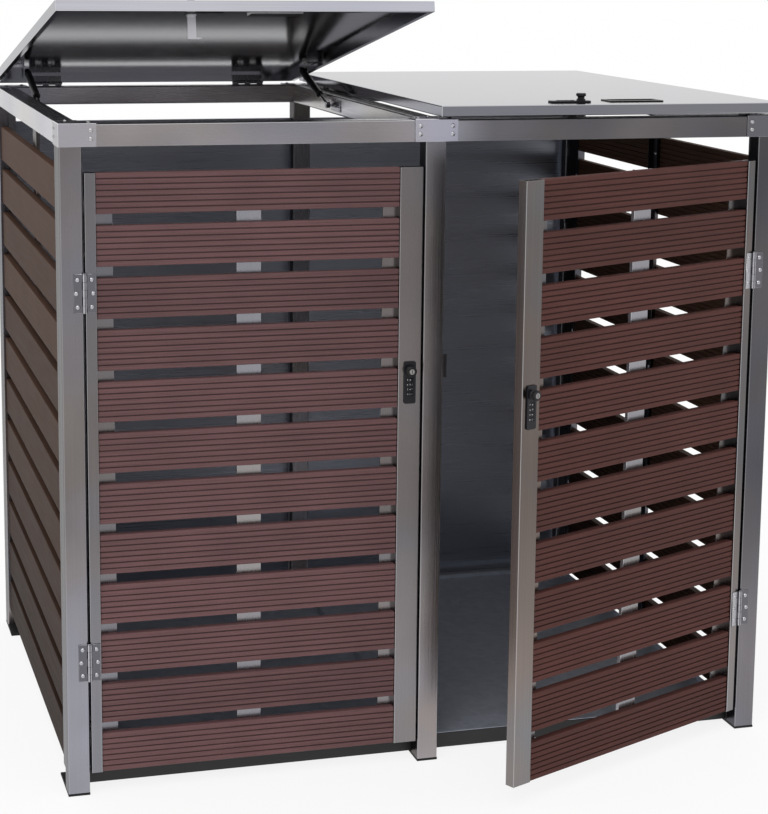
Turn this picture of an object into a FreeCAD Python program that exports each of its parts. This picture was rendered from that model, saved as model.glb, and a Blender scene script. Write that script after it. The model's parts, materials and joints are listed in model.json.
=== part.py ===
import FreeCAD, Part

import math
import os
import re

import Sketcher
from FreeCAD import Placement, Rotation, Vector

# Wheelie bin store for two bins: a stainless steel frame with boarded sides, two boarded
# doors at the front and two folded steel lids on gas springs.
# Origin: on the ground under the middle front post. +X to the right seen from the front,
# +Y to the back, +Z up. Millimetres and degrees.

# Driving sizes. Each one is a cell of the sheet, and every other length follows from them.
SIZES = {
    # frame
    "bay_width": (630, "clear width between two posts, room for a 580 mm wide bin"),
    "post_size": (40, "side of the square posts"),
    "tube_wall": (1.5, "wall of the posts, rails and stiles"),
    "store_depth": (1050, "front posts' front faces to rear posts' rear faces"),
    "rail_top": (1235, "ground to the top of posts and rails"),
    "rail_height": (40, "height of the rails"),
    "rail_back_leg": (30, "height of the front rails' turned-down back leg"),
    "bracket_plate": (2, "thickness of the corner brackets"),
    "bracket_reach": (66, "corner bracket along each rail, from the post's outer face"),
    "bracket_arm": (21, "middle bracket past each side of its post"),
    "bracket_screw_edge": (10, "bracket screws from the bracket's end"),
    "upper_screw_drop": (13, "upper bracket screws below the bracket's top"),
    "lower_screw_drop": (28, "lower bracket screws below the bracket's top"),
    "foot_height": (5, "thickness of the feet"),
    "foot_length": (110, "feet from front to back"),
    "base_rail_width": (20, "width of the base rails"),
    "base_rail_height": (30, "height of the base rails"),
    "base_rail_setback": (5, "cross rails behind the post's back face"),
    "tray_plate": (1.5, "thickness of the floor trays"),
    "tray_lip": (10, "turned-up edge of the floor trays"),
    "tray_gap": (1, "clearance round each floor tray"),
    "panel_plate": (1.5, "thickness of the rear panels"),
    "panel_fold": (15, "folded edge of the rear panels"),
    "panel_bottom": (20, "ground to the bottom of the rear panels"),
    "panel_top_gap": (38, "rear panels' top below the rear rail"),
    # boards
    "board_count": (12, "boards in each door and side"),
    "board_height": (73, "height of one board"),
    "board_gap": (21, "gap between two boards"),
    "board_thickness": (16, "thickness of one board"),
    "board_bottom": (42, "ground to the lowest board"),
    "board_end_gap": (0.5, "expansion gap at each end of a board"),
    "groove_count": (6, "grooves in one face of a board"),
    "groove_width": (2.4, "width of a groove"),
    "groove_depth": (2, "depth of a groove"),
    "bar_width": (46, "width of the upright bar behind the boards"),
    "bar_depth": (8, "depth of that bar"),
    "flange_plate": (2, "thickness of the flanges behind the boards"),
    # side panels
    "side_stile_width": (22, "visible width of the side panels' stiles"),
    "side_flange_reach": (15, "side stiles' flange behind the boards"),
    "side_recess": (5, "side boards behind the outer face of the posts"),
    # doors
    "door_gap": (3.6, "gap between a door and each post"),
    "door_recess": (3, "door boards behind the front face of the stiles"),
    "hinge_stile_width": (20, "visible width of a door's hinge stile"),
    "lock_stile_width": (44, "visible width of a door's lock stile"),
    "hinge_flange_reach": (32, "hinge stile's flange behind the boards"),
    "lock_flange_reach": (28, "lock stile's flange behind the boards"),
    "left_door_angle": (0, "left door as photographed, shut"),
    "right_door_angle": (25, "right door as photographed, ajar"),
    "keeper_plate": (2, "thickness of the lock keepers"),
    "keeper_reach": (14, "keeper from the post into the bay"),
    "keeper_height": (45, "height of a keeper"),
    "keeper_gap": (1.5, "a shut door's back to its keeper"),
    # hinges
    "hinge_length": (70, "length of every hinge"),
    "leaf_plate": (2, "thickness of the leaves"),
    "knuckle_radius": (4, "outer radius of the knuckles"),
    "knuckle_count": (5, "knuckles in one hinge"),
    "knuckle_gap": (0.5, "gap between two knuckles"),
    "hinge_pin_radius": (2, "radius of the hinge pins"),
    "hinge_pin_head": (3.2, "radius of a pin's head"),
    "hinge_pin_rise": (0.3, "a pin's head clear of the last knuckle"),
    "hinge_pin_cap": (1.5, "thickness of a pin's head"),
    "leaf_screw_spread": (0.35, "outer screws of a leaf from its middle, as a share of the hinge"),
    "leaf_screw_edge": (1, "leaf's edge to the rim of its middle screw"),
    "leaf_screw_stagger": (2.5, "outer screws of a leaf nearer to the axis"),
    "pin_clearance": (0.05, "radial clearance round every pin"),
    "door_leaf_width": (20, "door hinge from its axis to the leaf's edge"),
    "lid_leaf_width": (17, "lid hinge from its axis to the leaf's edge"),
    "lower_hinge_height": (255, "ground to the middle of the lower door hinges"),
    "upper_hinge_height": (936, "ground to the middle of the upper door hinges"),
    "lid_hinge_inset": (113.5, "side of a lid to the middle of its hinge"),
    # lids
    "lid_height": (20, "height of a lid's rim"),
    "lid_sheet": (1, "sheet of the lids"),
    "lid_hem": (10, "hem turned in under the rim"),
    "lid_clearance": (6, "rail top to a shut lid's rim"),
    "lid_front_overhang": (14, "lid in front of the posts"),
    "lid_side_overhang": (2, "lid past the side of the posts"),
    "lid_gap": (10, "gap between the two lids"),
    "left_lid_angle": (10.2, "left lid as photographed, part open"),
    "right_lid_angle": (0, "right lid as photographed, shut"),
    # flush handle of a lid
    "handle_length": (108, "handle's rim along the lid's front"),
    "handle_width": (50, "handle's rim from front to back"),
    "handle_rim": (6, "width of the handle's rim round its cup"),
    "handle_plate": (2, "handle's rim above the lid"),
    "handle_depth": (14, "depth of the cup below the lid's top"),
    "handle_wall": (1.5, "wall of the cup"),
    "handle_mouth": (27, "open part of the cup from front to back"),
    "handle_offset": (65, "handle from the middle of its lid"),
    "handle_setback": (82, "lid's front edge to the middle of the handle"),
    # gas springs
    "spring_foot_distance": (397, "lid hinge axis to the lower pivot, along the depth"),
    "spring_foot_drop": (20, "lower pivot below the rail's top"),
    "spring_head_distance": (170, "lid hinge axis to the upper pivot, along the lid"),
    "spring_head_rise": (6, "upper pivot above the lid hinge axis, lid shut"),
    "spring_offset": (12, "rail's face to the middle of the spring"),
    "spring_cylinder_radius": (7.5, "outer radius of the cylinder"),
    "spring_cylinder_length": (150, "length of the cylinder"),
    "spring_cylinder_wall": (1, "wall of the cylinder"),
    "spring_gland": (12, "closed end round the rod"),
    "spring_cap": (8, "closed end at the upper pivot"),
    "spring_rod_radius": (3, "radius of the rod"),
    "spring_rod_length": (186, "lower pivot to the end of the piston"),
    "spring_piston_length": (8, "length of the piston"),
    "spring_neck": (15, "cylinder's end to the upper pivot"),
    "spring_slack": (0.1, "radial clearance of rod and piston"),
    "eye_radius": (6.5, "outer radius of a spring's eyes"),
    "eye_width": (8, "width of a spring's eyes"),
    "stud_radius": (4, "radius of the pivot studs"),
    "stud_flange_radius": (6, "flange at the end of a stud"),
    "spring_plate": (2, "thickness of the spring brackets"),
    "spring_plate_half": (12, "spring brackets above and below a pivot"),
    "spring_foot_tail": (60, "lower bracket behind its pivot, towards the front"),
    "near_foot_screw": (22, "lower pivot to the bracket's near screw"),
    "far_foot_screw": (48, "lower pivot to the bracket's far screw"),
    "spring_head_half": (20, "upper bracket to each side of its pivot"),
    "stud_clip": (1.5, "thickness of the clip on a lower stud"),
    "spring_collar": (1, "wall of the neck round the upper end of the cylinder"),
    "spring_plate_gap": (2.5, "upper bracket to the rail's face"),
    "spring_flange_reach": (12, "upper bracket's flange over the rail"),
    "open_pivot_gap": (0.3, "upper stud's flange to its bracket"),
    # combination locks
    "lock_length": (80, "length of a lock's face plate"),
    "lock_width": (23, "width of the face plate"),
    "lock_plate": (3, "thickness of the face plate"),
    "lock_corner": (4, "corner radius of the face plate"),
    "lock_end": (17, "knob's axis to the plate's near end"),
    "lock_body_length": (70, "length of the body behind the plate"),
    "lock_body_width": (19.5, "width of that body"),
    "lock_body_depth": (15, "depth of that body"),
    "lock_cutout_gap": (0.5, "clearance round a lock's body"),
    "dial_count": (4, "number wheels in a lock"),
    "dial_pitch": (9, "distance between two wheels"),
    "dial_start": (18, "knob's axis to the first wheel"),
    "dial_radius": (8, "radius of a wheel"),
    "dial_width": (6.4, "width of a wheel"),
    "dial_rise": (1.5, "wheel above the face plate"),
    "dial_clearance": (0.4, "clearance round a wheel"),
    "dial_lip": (1, "lip of the face plate round a wheel's window"),
    "axle_radius": (1.5, "radius of the wheels' axle"),
    "knob_radius": (9.5, "radius of a knob's head"),
    "knob_waist": (6.5, "radius of a knob's neck"),
    "knob_height": (14, "knob above the face plate"),
    "spindle_radius": (4, "radius of a knob's spindle"),
    "spindle_clearance": (0.1, "radial clearance of spindles and wheels"),
    "spindle_hole_gap": (1, "radial clearance of a spindle through a door's stile"),
    "cam_plate": (3, "thickness of a cam"),
    "cam_width": (15, "width of a cam"),
    "cam_reach": (21, "spindle's axis to the end of a door's cam"),
    "cam_gap": (1, "cam to the keeper that it closes on"),
    "door_lock_height": (770, "ground to the door knobs"),
    "lid_lock_setback": (10, "front rail's back to the lid lock's spindle"),
    "lid_lock_offset": (70, "middle of a lid's lock from the middle of that lid"),
    "hook_reach": (10, "hook of a lid's latch past its bar"),
    "knob_foot": (0.3, "knob clear of the face plate"),
    "knob_chamfer": (1, "chamfer at a knob's foot"),
    "knob_crown": (1.5, "chamfer at a knob's top"),
    # cuts and joints between solids
    "cut_past": (1, "a cut past the face that it opens"),
    "overlap": (1, "a solid into the one that it is fused with"),
    # screws
    "screw_head_radius": (4.2, "radius of a dome head"),
    "screw_head_height": (2.4, "height of a dome head"),
    "screw_radius": (1.75, "radius of a screw's shank"),
    "screw_hole_gap": (0.1, "radial clearance of a screw hole"),
    "short_screw": (8, "shank of a screw into sheet"),
    "board_screw": (13, "shank of a screw into a board"),
}

# Lengths that follow from the sizes, in words that the formulas below share.
FORMULAS = {
    "outer_x": "(bay_width + 1.5 * post_size)",
    "inner_x": "(bay_width + 0.5 * post_size)",
    "half_post": "(0.5 * post_size)",
    "front_y": "(-0.5 * post_size)",
    "rear_y": "(store_depth - 0.5 * post_size)",
    "rear_post_y": "(store_depth - 1.5 * post_size)",
    "middle_y": "(0.5 * store_depth - 0.5 * post_size)",
    "rail_bottom": "(rail_top - rail_height)",
    "bracket_top": "(rail_top + bracket_plate)",
    "base_top": "(foot_height + base_rail_height)",
    "board_pitch": "(board_height + board_gap)",
    "board_top": "(board_bottom + board_count * board_pitch - board_gap)",
    "panel_top": "(rail_bottom - panel_top_gap)",
    "side_inside": "(outer_x - side_recess - board_thickness)",
    "door_axis_x": "(inner_x - 0.5 * door_gap)",
    "door_axis_y": "(front_y - knuckle_radius)",
    "door_start": "(0.5 * door_gap)",
    "door_end": "(bay_width - 1.5 * door_gap)",
    "door_front": "knuckle_radius",
    "door_boards_start": "(door_start + hinge_stile_width)",
    "door_boards_end": "(door_end - lock_stile_width)",
    "door_boards_middle": "(0.5 * door_boards_start + 0.5 * door_boards_end)",
    "door_boards_front": "(door_front + door_recess)",
    "door_flange": "(door_boards_front + board_thickness)",
    "door_back": "(door_flange + flange_plate)",
    "lid_width": "(outer_x + lid_side_overhang - 0.5 * lid_gap)",
    "lid_centre": "(0.5 * lid_gap + 0.5 * lid_width)",
    "lid_hinge_offset": "(0.5 * lid_width - lid_hinge_inset)",
    "lid_axis_y": "(rear_y + knuckle_radius)",
    "lid_axis_z": "(rail_top + knuckle_radius)",
    "lid_bottom": "(lid_clearance - knuckle_radius)",
    "lid_top": "(lid_bottom + lid_height)",
    "lid_under": "(lid_top - lid_sheet)",
    "lid_back": "(knuckle_radius + lid_sheet)",
    "lid_front": "(-lid_axis_y - half_post - lid_front_overhang)",
    "lid_lock_y": "(half_post + lid_lock_setback - lid_axis_y)",
    "lock_middle": "(0.5 * lock_length - lock_end)",
    "handle_y": "(lid_front + handle_setback)",
    "hook_top": "(rail_top - rail_back_leg - lid_axis_z - cam_gap)",
    "dial_axis": "(lock_plate + dial_rise - dial_radius)",
    "dial_reach": "(dial_radius + dial_clearance)",
    "window_lip": "(lock_plate - dial_lip)",
    "window_reach": "(sqrt(dial_radius ^ 2 - (window_lip - dial_axis) ^ 2) + dial_clearance)",
    "knuckle": "(hinge_length / knuckle_count)",
}

doc = FreeCAD.newDocument("wheelie_bin_store")
sheet = doc.addObject("Spreadsheet::Sheet", "Sizes")
for row, (alias, (number_text, meaning)) in enumerate(SIZES.items(), start=1):
    sheet.set("A%d" % row, meaning)
    sheet.set("B%d" % row, str(number_text))
    sheet.setAlias("B%d" % row, alias)
doc.recompute()

WORD = re.compile(r"[a-z_]+")


def bound(text):
    """Write a formula of size names out as an expression on the sheet's cells."""
    def cell(word):
        name = word.group()
        if name in FORMULAS:
            return bound(FORMULAS[name])
        return "Sizes." + name if name in SIZES else name
    return WORD.sub(cell, text)


def number(text):
    """The value of a formula now, for what has to be worked out in code."""
    return float(sheet.evalExpression(bound(text)))


def block(name, x, y, z):
    """A box from its low and high formula on each axis."""
    box = doc.addObject("Part::Box", name)
    for side, axis, (low, high) in (("Length", "x", x), ("Width", "y", y), ("Height", "z", z)):
        box.setExpression(side, bound("(%s) - (%s)" % (high, low)))
        box.setExpression("Placement.Base." + axis, bound(low))
    return box


CENTRED = ("0", "0")
TURNS = {"x": Rotation(Vector(0, 1, 0), 90), "y": Rotation(Vector(1, 0, 0), -90), "z": Rotation()}


def bar(name, axis, radius, low, high, centre):
    """A round bar along an axis, from its low to its high formula."""
    cylinder = doc.addObject("Part::Cylinder", name)
    cylinder.Placement = Placement(Vector(), TURNS[axis])
    cylinder.setExpression("Radius", bound(radius))
    cylinder.setExpression("Height", bound("(%s) - (%s)" % (high, low)))
    cylinder.setExpression("Placement.Base." + axis, bound(low))
    for other, place in zip([a for a in "xyz" if a != axis], centre):
        cylinder.setExpression("Placement.Base." + other, bound(place))
    return cylinder


def fused(name, pieces):
    whole = doc.addObject("Part::MultiFuse", name)
    whole.Shapes = pieces
    whole.Refine = True
    return whole


def group(name, pieces):
    several = doc.addObject("Part::Compound", name)
    several.Links = pieces
    return several


def cut(name, base, tools):
    result = doc.addObject("Part::Cut", name)
    result.Base = base
    result.Tool = tools[0] if len(tools) == 1 else group(name + "_tools", tools)
    return result


def placed(item, place):
    item.setExpression("Placement", bound(place))
    return item


def at(x="0", y="0", z="0", axis=(0, 0, 1), turn="0"):
    """A placement as a formula: a point, and a turn about an axis."""
    return "placement(vector(%s; %s; %s); rotation(vector(%s; %s; %s); %s))" % ((x, y, z) + axis + (turn,))


def handed(hand, near, far):
    """Low and high formula of a span that is mirrored for the right hand."""
    if hand > 0:
        return near, far
    return "-(%s)" % far, "-(%s)" % near


NODES = []


def node(item, label):
    """A finished sub-part: its label names its file."""
    item.Label = label
    NODES.append(item)
    return item


def tube(name, x, y, z, along):
    """A box tube, open at both ends, along one axis."""
    outside = block(name + "_outside", x, y, z)
    spans = {"x": x, "y": y, "z": z}
    for axis, (low, high) in spans.items():
        if axis != along:
            spans[axis] = ("%s + tube_wall" % low, "%s - tube_wall" % high)
    inside = block(name + "_inside", spans["x"], spans["y"], spans["z"])
    return cut(name, outside, [inside])


# Screws. A spot is the point under a head and the way that the head faces.

def dome_screw(shank):
    radius, height = number("screw_head_radius"), number("screw_head_height")
    ball = (radius ** 2 + height ** 2) / (2 * height)
    half = 0.5 * math.asin(radius / ball)
    halfway = Vector(ball * math.sin(half), 0, height - ball + ball * math.cos(half))
    outline = [
        Part.LineSegment(Vector(0, 0, -shank), Vector(number("screw_radius"), 0, -shank)),
        Part.LineSegment(Vector(number("screw_radius"), 0, -shank), Vector(number("screw_radius"), 0, 0)),
        Part.LineSegment(Vector(number("screw_radius"), 0, 0), Vector(radius, 0, 0)),
        Part.Arc(Vector(radius, 0, 0), halfway, Vector(0, 0, height)),
        Part.LineSegment(Vector(0, 0, height), Vector(0, 0, -shank)),
    ]
    wire = Part.Wire([segment.toShape() for segment in outline])
    return Part.Face(wire).revolve(Vector(), Vector(0, 0, 1), 360)


def spread(shape, spots):
    copies = []
    for point, facing in spots:
        copy = shape.copy()
        copy.Placement = Placement(point, Rotation(Vector(0, 0, 1), facing))
        copies.append(copy)
    return Part.makeCompound(copies)


def screws(name, lots):
    """One feature of separate screws. A lot is a list of spots and the shank's length."""
    feature = doc.addObject("Part::Feature", name)
    feature.Shape = Part.makeCompound([spread(dome_screw(number(shank)), spots) for spots, shank in lots])
    return feature


def holes(name, spots, shank):
    radius = number("screw_radius + screw_hole_gap")
    past = 0.5 * number("cut_past")
    drill = Part.makeCylinder(radius, number(shank) + 2 * past, Vector(0, 0, -number(shank) - past))
    feature = doc.addObject("Part::Feature", name)
    feature.Shape = spread(drill, spots)
    return feature


# Posts: square stainless tube, standing on the feet.

def posts(row, y):
    tubes = []
    for side, column in (("left", -1), ("middle", 0), ("right", 1)):
        middle = "%d * (bay_width + post_size)" % column
        x = ("%s - half_post" % middle, "%s + half_post" % middle)
        tubes.append(tube("%s_%s_post" % (side, row), x, y, ("foot_height", "rail_top"), "z"))
    return tubes


front_posts = group("front_post_tubes", posts("front", ("front_y", "half_post")))
rear_posts = group("rear_post_tubes", posts("rear", ("rear_post_y", "rear_y")))

# Rails. The front ones are folded channels, open below, whose back leg is what the lid
# latches hook under. The others are tube.

def front_rail(name, x):
    top = block(name + "_top", x, ("front_y", "half_post"), ("rail_top - tube_wall", "rail_top"))
    face = block(name + "_face", x, ("front_y", "front_y + tube_wall"), ("rail_bottom", "rail_top"))
    leg = block(name + "_leg", x, ("half_post - tube_wall", "half_post"),
                ("rail_top - rail_back_leg", "rail_top"))
    return fused(name, [top, face, leg])


rail_z = ("rail_bottom", "rail_top")
front_rails = group("front_rail_channels", [
    front_rail("left_front_rail", ("-inner_x", "-half_post")),
    front_rail("right_front_rail", ("half_post", "inner_x"))])
rear_rails = group("rear_rail_tubes", [
    tube("left_rear_rail", ("-inner_x", "-half_post"), ("rear_post_y", "rear_y"), rail_z, "x"),
    tube("right_rear_rail", ("half_post", "inner_x"), ("rear_post_y", "rear_y"), rail_z, "x")])
depth_rails = group("depth_rail_tubes", [
    tube("left_side_rail", ("-outer_x", "-inner_x"), ("half_post", "rear_post_y"), rail_z, "y"),
    tube("centre_rail", ("-half_post", "half_post"), ("half_post", "rear_post_y"), rail_z, "y"),
    tube("right_side_rail", ("inner_x", "outer_x"), ("half_post", "rear_post_y"), rail_z, "y")])

# Corner brackets: folded plate over post and rails, one leaf on top and one on each face.

bracket_z = ("rail_bottom", "bracket_top")
top_z = ("rail_top", "bracket_top")


def from_row(row, near, far):
    """Depth span measured inwards from the front faces, or from the rear ones."""
    if row == "front":
        return "front_y + %s" % near, "front_y + %s" % far
    return "rear_y - (%s)" % far, "rear_y - (%s)" % near


def corner_bracket(name, hand, row):
    along_x = handed(hand, "-(outer_x + bracket_plate)", "-(outer_x - bracket_reach)")
    over_post = handed(hand, "-(outer_x + bracket_plate)", "-inner_x")
    side_plate = handed(hand, "-(outer_x + bracket_plate)", "-outer_x")
    deep = from_row(row, "(-bracket_plate)", "bracket_reach")
    return fused(name, [
        block(name + "_face", along_x, from_row(row, "(-bracket_plate)", "0"), bracket_z),
        block(name + "_side", side_plate, deep, bracket_z),
        block(name + "_top", along_x, from_row(row, "(-bracket_plate)", "post_size"), top_z),
        block(name + "_tail", over_post, deep, top_z)])


def middle_bracket(name, row):
    wide = ("-half_post - bracket_arm", "half_post + bracket_arm")
    deep = from_row(row, "(-bracket_plate)", "bracket_reach")
    return fused(name, [
        block(name + "_face", wide, from_row(row, "(-bracket_plate)", "0"), bracket_z),
        block(name + "_top", wide, from_row(row, "(-bracket_plate)", "post_size"), top_z),
        block(name + "_tail", ("-half_post", "half_post"), deep, top_z)])


brackets = []
for row in ("front", "rear"):
    brackets.append(corner_bracket("left_%s_bracket" % row, 1, row))
    brackets.append(middle_bracket("middle_%s_bracket" % row, row))
    brackets.append(corner_bracket("right_%s_bracket" % row, -1, row))
corner_brackets = group("bracket_plates", brackets)


def bracket_spots():
    """Two screws one above the other at each bracket's end, and one on top of each rail."""
    edge = number("bracket_screw_edge")
    levels = [number("bracket_top") - number(drop) for drop in ("upper_screw_drop", "lower_screw_drop")]
    corner = number("outer_x - bracket_reach") + edge
    arm = number("half_post + bracket_arm") - edge
    faces = [-corner, -arm, arm, corner]
    outside = number("outer_x + bracket_plate")
    seat_z = number("bracket_top")
    spots = []
    front = (-1, "front_y - bracket_plate", "front_y + bracket_reach - bracket_screw_edge", "0")
    rear = (1, "rear_y + bracket_plate", "rear_y - bracket_reach + bracket_screw_edge", "rear_y - half_post")
    for facing, *places in (front, rear):
        seat_y, tail_y, rail_y = [number(place) for place in places]
        for x in faces:
            spots += [(Vector(x, seat_y, z), Vector(0, facing, 0)) for z in levels]
            spots.append((Vector(x, rail_y, seat_z), Vector(0, 0, 1)))
        for side in (-1, 1):
            spots += [(Vector(side * outside, tail_y, z), Vector(side, 0, 0)) for z in levels]
        for x in (-number("outer_x - half_post"), 0, number("outer_x - half_post")):
            spots.append((Vector(x, tail_y, seat_z), Vector(0, 0, 1)))
    return spots


# Side panels: two stiles with a flange behind the boards, and a bar half way.

def upright_bar(name, y, faces_x, hand):
    """A shallow channel whose web lies on the boards, z from the lowest board up."""
    z = ("board_bottom", "rail_bottom")
    low, high = y
    web = handed(hand, "-(%s)" % faces_x, "-(%s - tube_wall)" % faces_x)
    leg = handed(hand, "-(%s)" % faces_x, "-(%s - bar_depth)" % faces_x)
    return fused(name, [
        block(name + "_web", web, y, z),
        block(name + "_front_leg", leg, (low, "%s + tube_wall" % low), z),
        block(name + "_back_leg", leg, ("%s - tube_wall" % high, high), z)])


def side_stile(name, hand, row):
    reach = "side_stile_width + side_flange_reach"
    y = ("half_post", "half_post + side_stile_width") if row == "front" else (
        "rear_post_y - side_stile_width", "rear_post_y")
    flange_y = ("half_post", "half_post + %s" % reach) if row == "front" else (
        "rear_post_y - (%s)" % reach, "rear_post_y")
    z = ("board_bottom", "rail_bottom")
    box = tube(name + "_box", handed(hand, "-outer_x", "-side_inside"), y, z, "z")
    flange_x = handed(hand, "-side_inside", "-(side_inside - flange_plate)")
    return fused(name, [box, block(name + "_flange", flange_x, flange_y, z)])


side_pieces = []
for side, hand in (("left", 1), ("right", -1)):
    for row in ("front", "rear"):
        side_pieces.append(side_stile("%s_%s_side_stile" % (side, row), hand, row))
    bar_y = ("middle_y - 0.5 * bar_width", "middle_y + 0.5 * bar_width")
    side_pieces.append(upright_bar("%s_side_bar" % side, bar_y, "side_inside", hand))
side_frames = group("side_frame_pieces", side_pieces)

# Boards: wood-plastic planks, plain on one face and grooved on the other, one sketch padded
# to length and repeated upwards. The sides show the plain face, the doors the grooved one.

def boards(name, length):
    body = doc.addObject("PartDesign::Body", name)
    body.AllowCompound = True
    profile = body.newObject("Sketcher::SketchObject", name + "_profile")
    upright = [plane for plane in body.Origin.OriginFeatures if plane.Role == "YZ_Plane"][0]
    profile.AttachmentSupport = [(upright, "")]
    profile.MapMode = "FlatFace"
    thickness, height = number("board_thickness"), number("board_height")
    groove, depth = number("groove_width"), number("groove_depth")
    pitch = height / (number("groove_count") + 1)
    points = [Vector(0, 0), Vector(thickness, 0), Vector(thickness, height), Vector(0, height)]
    for step in range(int(number("groove_count")), 0, -1):
        top = step * pitch + 0.5 * groove
        bottom = top - groove
        points += [Vector(0, top), Vector(depth, top), Vector(depth, bottom), Vector(0, bottom)]
    for start, end in zip(points, points[1:] + points[:1]):
        profile.addGeometry(Part.LineSegment(start, end))
    plank = body.newObject("PartDesign::Pad", name + "_plank")
    plank.Profile = profile
    plank.setExpression("Length", bound(length))
    stack = body.newObject("PartDesign::LinearPattern", name + "_stack")
    stack.Originals = [plank]
    stack.Direction = (profile, ["V_Axis"])
    stack.setExpression("Occurrences", bound("board_count"))
    stack.setExpression("Length", bound("board_pitch * (board_count - 1)"))
    body.Tip = stack
    return body


side_board_length = "rear_post_y - half_post - 2 * side_stile_width - 2 * board_end_gap"
side_boards = {}
for side, hand in (("left", 1), ("right", -1)):
    planks = boards("%s_side_board_stack" % side, side_board_length)
    if side == "left":
        start, grooved = "half_post + side_stile_width + board_end_gap", "-side_inside"
    else:
        start, grooved = "rear_post_y - side_stile_width - board_end_gap", "side_inside"
    side_boards[side] = placed(planks, at(grooved, start, "board_bottom", turn=str(90 * hand)))


def board_heights():
    lowest, pitch = number("board_bottom + 0.5 * board_height"), number("board_pitch")
    return [lowest + step * pitch for step in range(int(number("board_count")))]


def side_board_spots():
    """Screws from inside, through flange or bar, into every board."""
    flange = number("side_inside - flange_plate")
    web = number("side_inside - tube_wall")
    margin = number("side_stile_width + 0.5 * side_flange_reach")
    columns = [
        (flange, number("half_post") + margin),
        (web, number("middle_y")),
        (flange, number("rear_post_y") - margin)]
    spots = []
    for hand in (-1, 1):
        for x, y in columns:
            spots += [(Vector(hand * x, y, z), Vector(-hand, 0, 0)) for z in board_heights()]
    return spots


# Rear panels: flat sheets with folded edges between the rear posts.

def rear_panel(name, low, high):
    z = ("panel_bottom", "panel_top")
    fold_y = ("rear_y - panel_fold", "rear_y")
    return fused(name, [
        block(name + "_sheet", (low, high), ("rear_y - panel_plate", "rear_y"), z),
        block(name + "_left_fold", (low, "%s + panel_plate" % low), fold_y, z),
        block(name + "_right_fold", ("%s - panel_plate" % high, high), fold_y, z),
        block(name + "_top_fold", (low, high), fold_y, ("panel_top - panel_plate", "panel_top"))])


rear_panels = group("rear_panel_sheets", [
    rear_panel("left_rear_panel", "-inner_x", "-half_post"),
    rear_panel("right_rear_panel", "half_post", "inner_x")])
node(rear_panels, "rear_panels")

# Base: a ladder of low rails on the feet, which carries the two floor trays.

base_z = ("foot_height", "base_top")
base_rails = []
for name, x in (("left", ("-(inner_x + base_rail_width)", "-inner_x")),
                ("centre", ("-0.5 * base_rail_width", "0.5 * base_rail_width")),
                ("right", ("inner_x", "inner_x + base_rail_width"))):
    base_rails.append(block("%s_base_rail" % name, x, ("half_post", "rear_post_y"), base_z))
for name, (low, high) in (("left", ("-inner_x", "-0.5 * base_rail_width")),
                          ("right", ("0.5 * base_rail_width", "inner_x"))):
    front = ("half_post + base_rail_setback", "half_post + base_rail_setback + base_rail_width")
    rear = ("rear_post_y - base_rail_setback - base_rail_width", "rear_post_y - base_rail_setback")
    base_rails.append(block("%s_front_base_rail" % name, (low, high), front, base_z))
    base_rails.append(block("%s_rear_base_rail" % name, (low, high), rear, base_z))
node(group("base_rail_bars", base_rails), "base_rails")


def floor_tray(name, low, high):
    y = ("half_post + base_rail_setback", "rear_post_y - base_rail_setback")
    lip_z = ("base_top", "base_top + tray_lip")
    plate_z = ("base_top", "base_top + tray_plate")
    return fused(name, [
        block(name + "_plate", (low, high), y, plate_z),
        block(name + "_left_lip", (low, "%s + tray_plate" % low), y, lip_z),
        block(name + "_right_lip", ("%s - tray_plate" % high, high), y, lip_z),
        block(name + "_rear_lip", (low, high), ("%s - tray_plate" % y[1], y[1]), lip_z)])


tray_edge = "side_inside - flange_plate - bar_depth - tray_gap"
node(group("floor_tray_sheets", [
    floor_tray("left_floor_tray", "-(%s)" % tray_edge, "-tray_gap"),
    floor_tray("right_floor_tray", "tray_gap", tray_edge)]), "floor_trays")

feet = []
for row in ("front", "rear"):
    y = from_row(row, "0", "foot_length")
    for column in (-1, 0, 1):
        middle = "%d * (bay_width + post_size)" % column
        x = ("%s - half_post" % middle, "%s + half_post" % middle)
        feet.append(block("foot", x, y, ("0", "foot_height")))
node(group("foot_pads", feet), "feet")

# Hinges. A leaf lies along local +X from the hinge's axis, which is local Z, and its back
# is tangent to the knuckles. Odd knuckles belong to the frame, even ones to what moves.

def hinge_leaf(name, width, first):
    half = "0.5 * hinge_length"
    leaf_y = ("knuckle_radius - leaf_plate", "knuckle_radius")
    edge = "knuckle_radius + knuckle_gap"
    pieces = [block(name + "_leaf", (edge, width), leaf_y, ("-%s" % half, half))]
    count = int(number("knuckle_count"))
    for step in range(first, count, 2):
        low = "%d * knuckle - %s" % (step, half) + (" + 0.5 * knuckle_gap" if step > 0 else "")
        high = "%d * knuckle - %s" % (step + 1, half) + (" - 0.5 * knuckle_gap" if step < count - 1 else "")
        pieces.append(block(name + "_strap", ("0", edge), leaf_y, (low, high)))
        pieces.append(bar(name + "_knuckle", "z", "knuckle_radius", low, high, CENTRED))
    bore = bar(name + "_bore", "z", "hinge_pin_radius + pin_clearance", "-hinge_length", "hinge_length",
               CENTRED)
    return cut(name, fused(name + "_solid", pieces), [bore])


def hinge_pin(name):
    end = "0.5 * hinge_length + %s"
    shaft = bar(name + "_shaft", "z", "hinge_pin_radius", "-0.5 * hinge_length", end % "overlap", CENTRED)
    head = bar(name + "_head", "z", "hinge_pin_head", end % "hinge_pin_rise",
               end % "hinge_pin_rise + hinge_pin_cap", CENTRED)
    return fused(name, [shaft, head])


def leaf_points(width):
    """The three staggered screws of a leaf: distance from the axis, place along the hinge."""
    outer = number("%s - screw_head_radius - leaf_screw_edge" % width)
    inner = outer - number("leaf_screw_stagger")
    rise = number("leaf_screw_spread * hinge_length")
    return [(inner, -rise), (outer, 0), (inner, rise)]


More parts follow.
